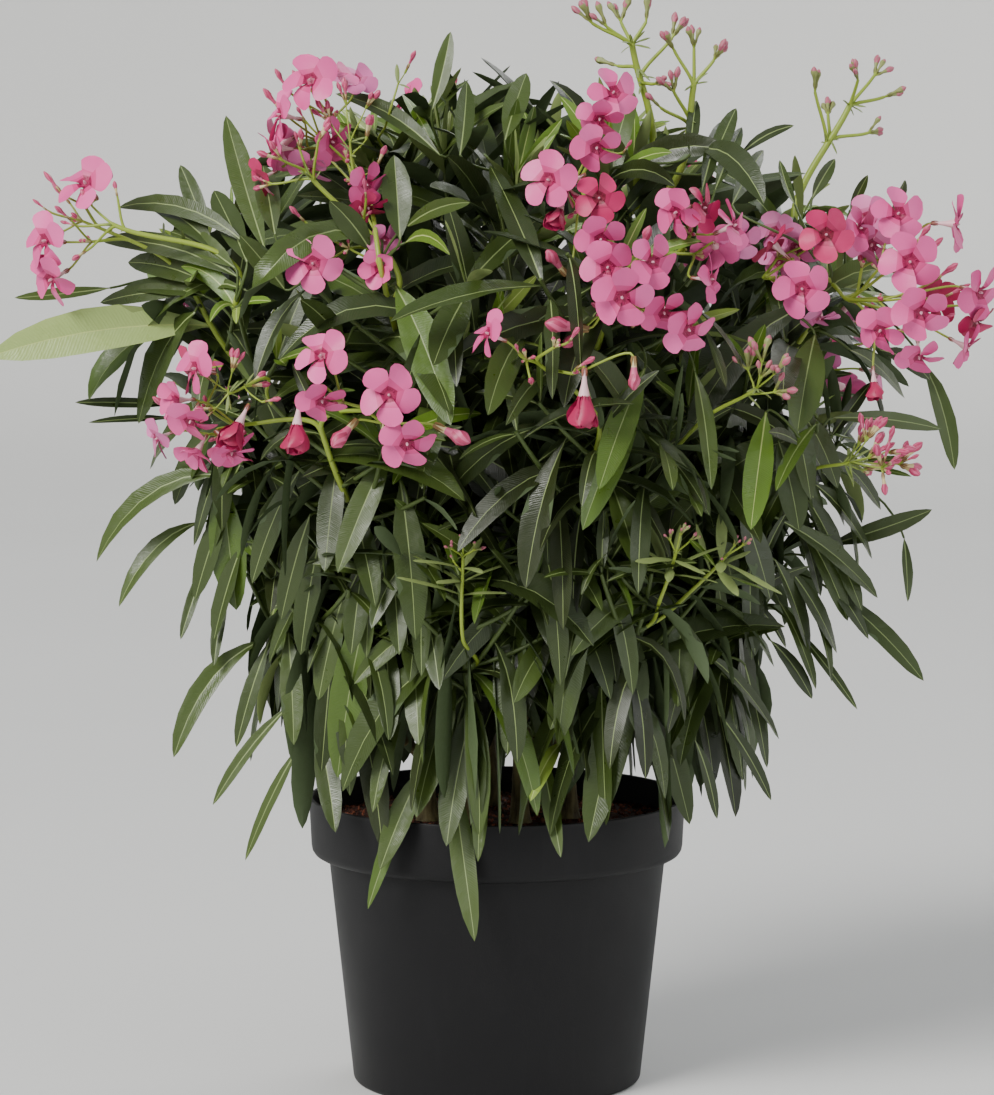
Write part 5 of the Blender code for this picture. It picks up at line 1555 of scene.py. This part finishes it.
def plan_head(mass, centre, half, blooms, buds, placed, chance):
    """A head's stalk, and its flowers: the placed blooms, and blooms and buds dealt evenly over the outer
    face of an ellipsoid, or round its back where blooms are placed on its face."""
    centre = Vector(centre)
    facing = centre - CROWN_CENTRE
    facing.z *= HEAD_FACES_UP
    facing.normalize()
    wide = across(facing)
    high = wide.cross(facing)
    core = centre - facing * (half[2] + HEAD_CORE_DEPTH) - UP * 0.3 * half[1]
    start = mass["tip"] - mass["tip_direction"] * 0.005
    way_out = (centre - core).normalized()
    end = core + way_out * 0.7 * HEAD_CORE_DEPTH
    stalk = [point_on(mass["twigs"][0]["path"], share)[0] for share in (0.50, 0.60, 0.70, 0.80, 0.90)]
    stalk += smooth_path(start, mass["tip_direction"], end, way_out, STALK_STEPS)
    flowers = [(kind, in_view(*seen), sloped(*face), size) for *seen, face, kind, size in placed]
    total = blooms + buds
    for i in range(total):
        is_bloom = (i + 1) * blooms // total > i * blooms // total
        angle = DOME_EDGE * math.sqrt((i + 0.5) / total)
        if placed and is_bloom:
            angle = math.radians(chance.uniform(*BEHIND_PLACED))
        turn = i * GOLDEN_ANGLE + chance.uniform(-DEALT_TURN_SPREAD, DEALT_TURN_SPREAD)
        local = (math.sin(angle) * math.cos(turn), math.sin(angle) * math.sin(turn), math.cos(angle))
        normal = wide * local[0] + high * local[1] + facing * local[2]
        place = wide * local[0] * half[0] + high * local[1] * half[1] + facing * local[2] * half[2]
        place = centre + place * (0.85 if placed and not is_bloom else 1.0)
        looks = (0.62 * normal + (0.2 if placed else 0.55) * facing + 0.10 * UP).normalized()
        if not is_bloom:
            looks = ((place - core).normalized() + 0.35 * UP).normalized()
        kind = chance.choice(DEALT_KINDS) if is_bloom else "bud"
        flowers.append((kind, place, looks, chance.uniform(*DEALT_SIZES)))

    def turn_round_head(flower):
        out = flower[1] - centre
        return math.atan2(out.dot(high), out.dot(wide))

    return stalk, sorted(flowers, key=turn_round_head)


def plan_trusses(masses):
    """Trusses of closed buds that stand out of the crown: their stalks, their buds, and the little bracts
    where they branch."""
    stalks, buds, bracts = [], {"pink": [], "green": []}, []
    for number, (foot, colour, end, length, thick, branches) in enumerate(TRUSSES):
        chance = random.Random(f"truss {number}")
        foot, end = in_view(*foot), in_view(*end)
        root, direction, _ = nearest_root(masses, foot, TRUSS_FROM_BELOW)
        run = (end - foot).normalized()
        bend = ((foot - root).normalized() + run).normalized()
        stalk = smooth_path(foot, bend, end, (run + 0.15 * UP).normalized(), STALK_STEPS)
        stalks.append((smooth_path(root, direction, foot, bend, 6)[:-1] + stalk, thick, 0.75 * thick, 1.0))
        if length < YOUNG_TRUSS:
            for k in range(YOUNG_BRACTS):
                root, along = point_on(stalk, 0.55 + 0.15 * (k // 3))
                spoke = Matrix.Rotation(k * GOLDEN_ANGLE, 3, along) @ across(along)
                bracts.append((root, (spoke + 0.5 * along).normalized(), chance.uniform(*BRACT_LENGTHS)))
        for share, right, down, count in branches:
            root, along = point_on(stalk, share)
            tip = in_view(right, down, root.y + chance.uniform(-0.016, 0.016))
            run = (tip - root).normalized()
            leaving = (run + 0.35 * along).normalized()
            branch = smooth_path(root, leaving, tip, (run + 0.15 * UP).normalized(), BRANCH_STEPS)
            stalks.append((branch, 0.48 * thick, 0.40 * thick, 1.25))
            for _ in range(2):
                way = (any_way(chance).normalized() + 0.7 * run).normalized()
                bracts.append((root, way, length * chance.uniform(0.5, 1.0)))
            for k in range(count):
                fan = any_way(chance).normalized() * (0.30 + 0.12 * count)
                facing = (run + 0.25 * UP + (fan if count > 1 else 0.2 * fan)).normalized()
                size = length * chance.uniform(0.80, 1.12) * (0.8 if k > 2 else 1.0)
                foot = tip + facing * length * 0.22
                pedicel = [tip, tip + facing * length * 0.11, foot]
                stalks.append((pedicel, PEDICEL_RADIUS, PEDICEL_RADIUS, 1.0))
                kind = chance.choice((1, 2, 2)) if colour == "pink" else chance.choice((2, 2, 3))
                buds[colour].append((foot, facing, chance.uniform(0, FULL_TURN), size, kind))
    return stalks, buds, bracts


def plan_heads(masses, stalks, buds):
    """Every head's flowers on their stalks. Three flowers share a fork."""
    by_name = {mass["name"]: mass for mass in masses}
    blooms = {"rose": [], "pale": [], "coral": []}
    for head, (name, centre, half, bloom_count, bud_count) in HEADS.items():
        chance = random.Random(f"head {head}")
        placed = PLACED_BLOOMS.get(head, ())
        stalk, flowers = plan_head(by_name[name], centre, half, bloom_count, bud_count, placed, chance)
        open_blooms = Flowers([(place, facing) for kind, place, facing, _ in flowers if kind != "bud"])
        flowers = [row for row in flowers if row[0] != "bud" or open_blooms.are_clear_of([row[1]])]
        stalks.append((stalk, PEDUNCLE_RADIUS, 0.5 * PEDUNCLE_RADIUS, 1.0))
        for number, first in enumerate(range(0, len(flowers), BLOOMS_PER_FORK)):
            group = flowers[first : first + BLOOMS_PER_FORK]
            middle = sum((place for _, place, _, _ in group), Vector()) / len(group)
            root, along = point_on(stalk, STALK_FORKS[0] + STALK_FORKS[1] * (number % 3) / 2)
            fork = root.lerp(middle, BRANCH_SHARE)
            away = (fork - root).normalized()
            leaving = (away + 0.7 * along).normalized()
            branch = smooth_path(root, leaving, fork, away, BRANCH_STEPS)
            stalks.append((branch, BRANCH_RADIUS, 0.85 * BRANCH_RADIUS, 1.2))
            for kind, place, facing, size in group:
                spin = chance.uniform(0, FULL_TURN)
                if kind in BLOOM_KINDS:
                    colour, shapes = BLOOM_KINDS[kind]
                    size *= BLOOM_RADIUS
                    blooms[colour].append((place, facing, spin, size, chance.choice(shapes)))
                    foot = place - facing * size * (BLOOM_TUBE / BLOOM_RADIUS)
                else:
                    size = FURLED_LENGTH * size if kind == "furled" else chance.uniform(*BUD_LENGTHS)
                    foot = place - facing * size * 0.5
                    shape = FURLED_BUD if kind == "furled" else chance.choice((0, 1, 1, 2))
                    buds["pink"].append((foot, facing, spin, size, shape))
                path = smooth_path(fork, (foot - fork).normalized() * 0.6 + away * 0.4, foot, facing, 8, 0.7)
                stalks.append((path, PEDICEL_RADIUS, 0.95 * PEDICEL_RADIUS, 1.0))
            for _ in range(BUDS_PER_FORK):
                facing = (away + any_way(chance, 0.9) + 0.3 * UP).normalized()
                spin, size = chance.uniform(0, FULL_TURN), chance.uniform(*SMALL_BUD_LENGTHS)
                buds["pink"].append((fork, facing, spin, size, chance.choice((2, 3))))
    return blooms


def make_blossom(blooms, stalks, buds, limb):
    make_limbs("flower_stalks", stalks, limb, soft_finish("stalk_green", "#8fa338", 0.45), "foliage")
    common = [soft_finish(*row) for row in BLOOM_TONES]
    shapes = bpy.data.collections.new("bloom_shapes")
    for k, (openness, curl) in enumerate(BLOOM_OPENINGS):
        shapes.objects.link(bloom_shape(f"bloom_{k}", openness, curl, 11 + k))
    tree = dealt_tree(len(PETAL_ZONES) + len(common))
    for colour, rows in blooms.items():
        # the pale petals are painted shade: duller copies of the rose tones
        petals = zip(PETAL_ZONES, PETAL_TONES[colour])
        petals = [soft_finish(f"petal_{colour}_{zone}", text, 0.5) for zone, text in petals]
        deal(f"blossom_{colour}", rows, tree, shapes, petals + common)
    shapes = bpy.data.collections.new("bud_shapes")
    for k, (fat, twist, pink_from) in enumerate(BUD_FURLS):
        shapes.objects.link(bud_shape(f"bud_{k}", fat, twist, pink_from))
    tree = dealt_tree(len(BUD_TONES["pink"]))
    for colour, rows in buds.items():
        deal(f"buds_{colour}", rows, tree, shapes, [soft_finish(*row) for row in BUD_TONES[colour]])


# --- building the plant -------------------------------------------------------------------------------
def grow_limbs(masses, limb):
    """The stems and the boughs, and the inner twigs that stand on them."""
    stems, boughs, stem_nodes, bough_nodes = [], [], [], []
    for k, stem in enumerate(plan_stems(masses)):
        path = stem_path(stem)
        stems.append((path, STEM_RADIUS, LIMB_TIP_RADIUS, STEM_FLARE))
        stem_nodes.append(f"stem_{k + 1}")
        stem["masses"][0]["twigs"] += inner_twigs(path, INNER_SHARES["stem"], f"stem {k + 1}")
        lowest = SOIL_LEVEL + BOUGH_LOWEST_FORK
        for mass in reversed(stem["masses"][1:]):
            line = bough_path(path, mass, lowest)
            lowest = line[0].z + BOUGH_SPACING
            boughs.append((line, BOUGH_RADIUS, LIMB_TIP_RADIUS, BOUGH_FLARE))
            bough_nodes.append(f"bough_{mass['name']}")
            mass["twigs"] += inner_twigs(line, INNER_SHARES["bough"], mass["name"])
    bark = bark_finish()
    make_limbs("stems", stems, limb, bark, "bark", stem_nodes)
    make_limbs("boughs", boughs, limb, bark, "bark", bough_nodes)


def grow_leaves(masses, flowers):
    """The leaves by tier, kept off the blooms, the pot and the space of other masses, and their twigs."""
    spaces = Spaces(masses)
    by_tier, twigs = {tier: [] for tier in TIERS}, []
    for index, mass in enumerate(masses):
        for number, twig in enumerate(mass["twigs"]):
            furthest = SHOWN_SHOOT if twig["kind"] == "main" else 0.0
            chance = random.Random(f"{mass['name']} {number} tone")
            spray = chance.uniform(*SPRAY_TONES)
            for leaf in plan_leaves(mass, twig):
                leaf["tone"] = leaf_tone(leaf, spray, mass["tier"] in ("upper", "crown"), chance)
                if not within_envelope(leaf, chance.uniform(*ENVELOPE_SPARE)):
                    continue
                tests = leaf["line"][4::2]
                own = twig["kind"] == "inner" or spaces.is_own(tests, index)
                if own and away_from_pot(tests) and flowers.are_clear_of(leaf["line"]):
                    by_tier[mass["tier"]].append(leaf)
                    furthest = max(furthest, leaf["share"])
            if furthest:
                path = twig["path"]
                start, end = (path[1] - path[0]).normalized(), (path[-1] - path[-2]).normalized()
                line = smooth_path(path[0], start, path[-1], end, FINE_TWIG_STEPS)
                line = line[: math.ceil(furthest * FINE_TWIG_STEPS) + 1]
                twigs.append((line, twig["radius"], TWIG_TIP_RADIUS, 1.0))
        for name, share, tip in LONG_LEAVES:
            if name == mass["name"]:
                by_tier[mass["tier"]].append(long_leaf(mass, share, tip))
    return by_tier, twigs


def add_aimed_leaves(masses, flowers, by_tier, twigs):
    """The leaves in plain sight, where they hide no bloom."""
    for right, down, from_right, from_down, droop, width, tone_number in AIMED_LEAVES:
        foot = on_front(from_right, from_down, FOOT_DEPTH)
        leaf, twig, mass = aimed_leaf(masses, on_front(right, down, 1.0), foot, droop)
        leaf.update({"width": width * VIEW_STEP / leaf["length"], "tone": tone_number})
        outer = leaf["line"][4:]
        if flowers.are_clear_of(outer, AIMED_REACH, AIMED_ROOM) and flowers.show_past(outer):
            by_tier[mass["tier"]].append(leaf)
            twigs.append((twig, 0.8 * TWIG_TIP_RADIUS, 0.6 * TWIG_TIP_RADIUS, 1.0))


def add_bracts(bracts, leaves):
    """The little leaves on the trusses' stalks."""
    for root, direction, length in bracts:
        leaf = {"root": root, "direction": direction, "twig_direction": direction.cross(across(direction))}
        leaf.update({"length": length, "droop": 0.3, "roll": 0.0, "age": 0.2})
        leaf["tone"] = FIRST_LIGHT_TONE + (length <= 0.02)
        leaf["line"] = leaf_line(leaf)
        leaves.append(leaf)


def make_plant():
    limb = limb_tree()
    masses = plan_masses()
    for mass in masses:
        mass["twigs"] = plan_twigs(mass)
    grow_limbs(masses, limb)
    stalks, buds, bracts = plan_trusses(masses)
    blooms = plan_heads(masses, stalks, buds)
    flowers = Flowers([row[:2] for rows in blooms.values() for row in rows])
    by_tier, twigs = grow_leaves(masses, flowers)
    add_aimed_leaves(masses, flowers, by_tier, twigs)
    add_bracts(bracts, by_tier["crown"])
    make_limbs("twigs", twigs, limb, soft_finish("twig_green", "#465724", 0.5), "foliage")
    finishes = [leaf_finish(name, colour, 0.34) for name, colour in LEAF_TONES]
    finishes += [soft_finish(name, colour, 0.45) for name, colour in RIB_TONES]
    finishes += [soft_finish(name, colour, 0.62) for name, colour in UNDER_TONES]
    for tier, leaves in by_tier.items():
        nodes = [f"foliage_{mass['name']}" for mass in masses if mass["tier"] == tier]
        make_leaves(f"leaves_{tier}", leaves, finishes, nodes)
    make_blossom(blooms, stalks, buds, limb)


set_camera()
light_studio()
lay_floor()
make_pot()
make_potting_mix(crumb_tree())
make_plant()
bpy.context.view_layer.update()
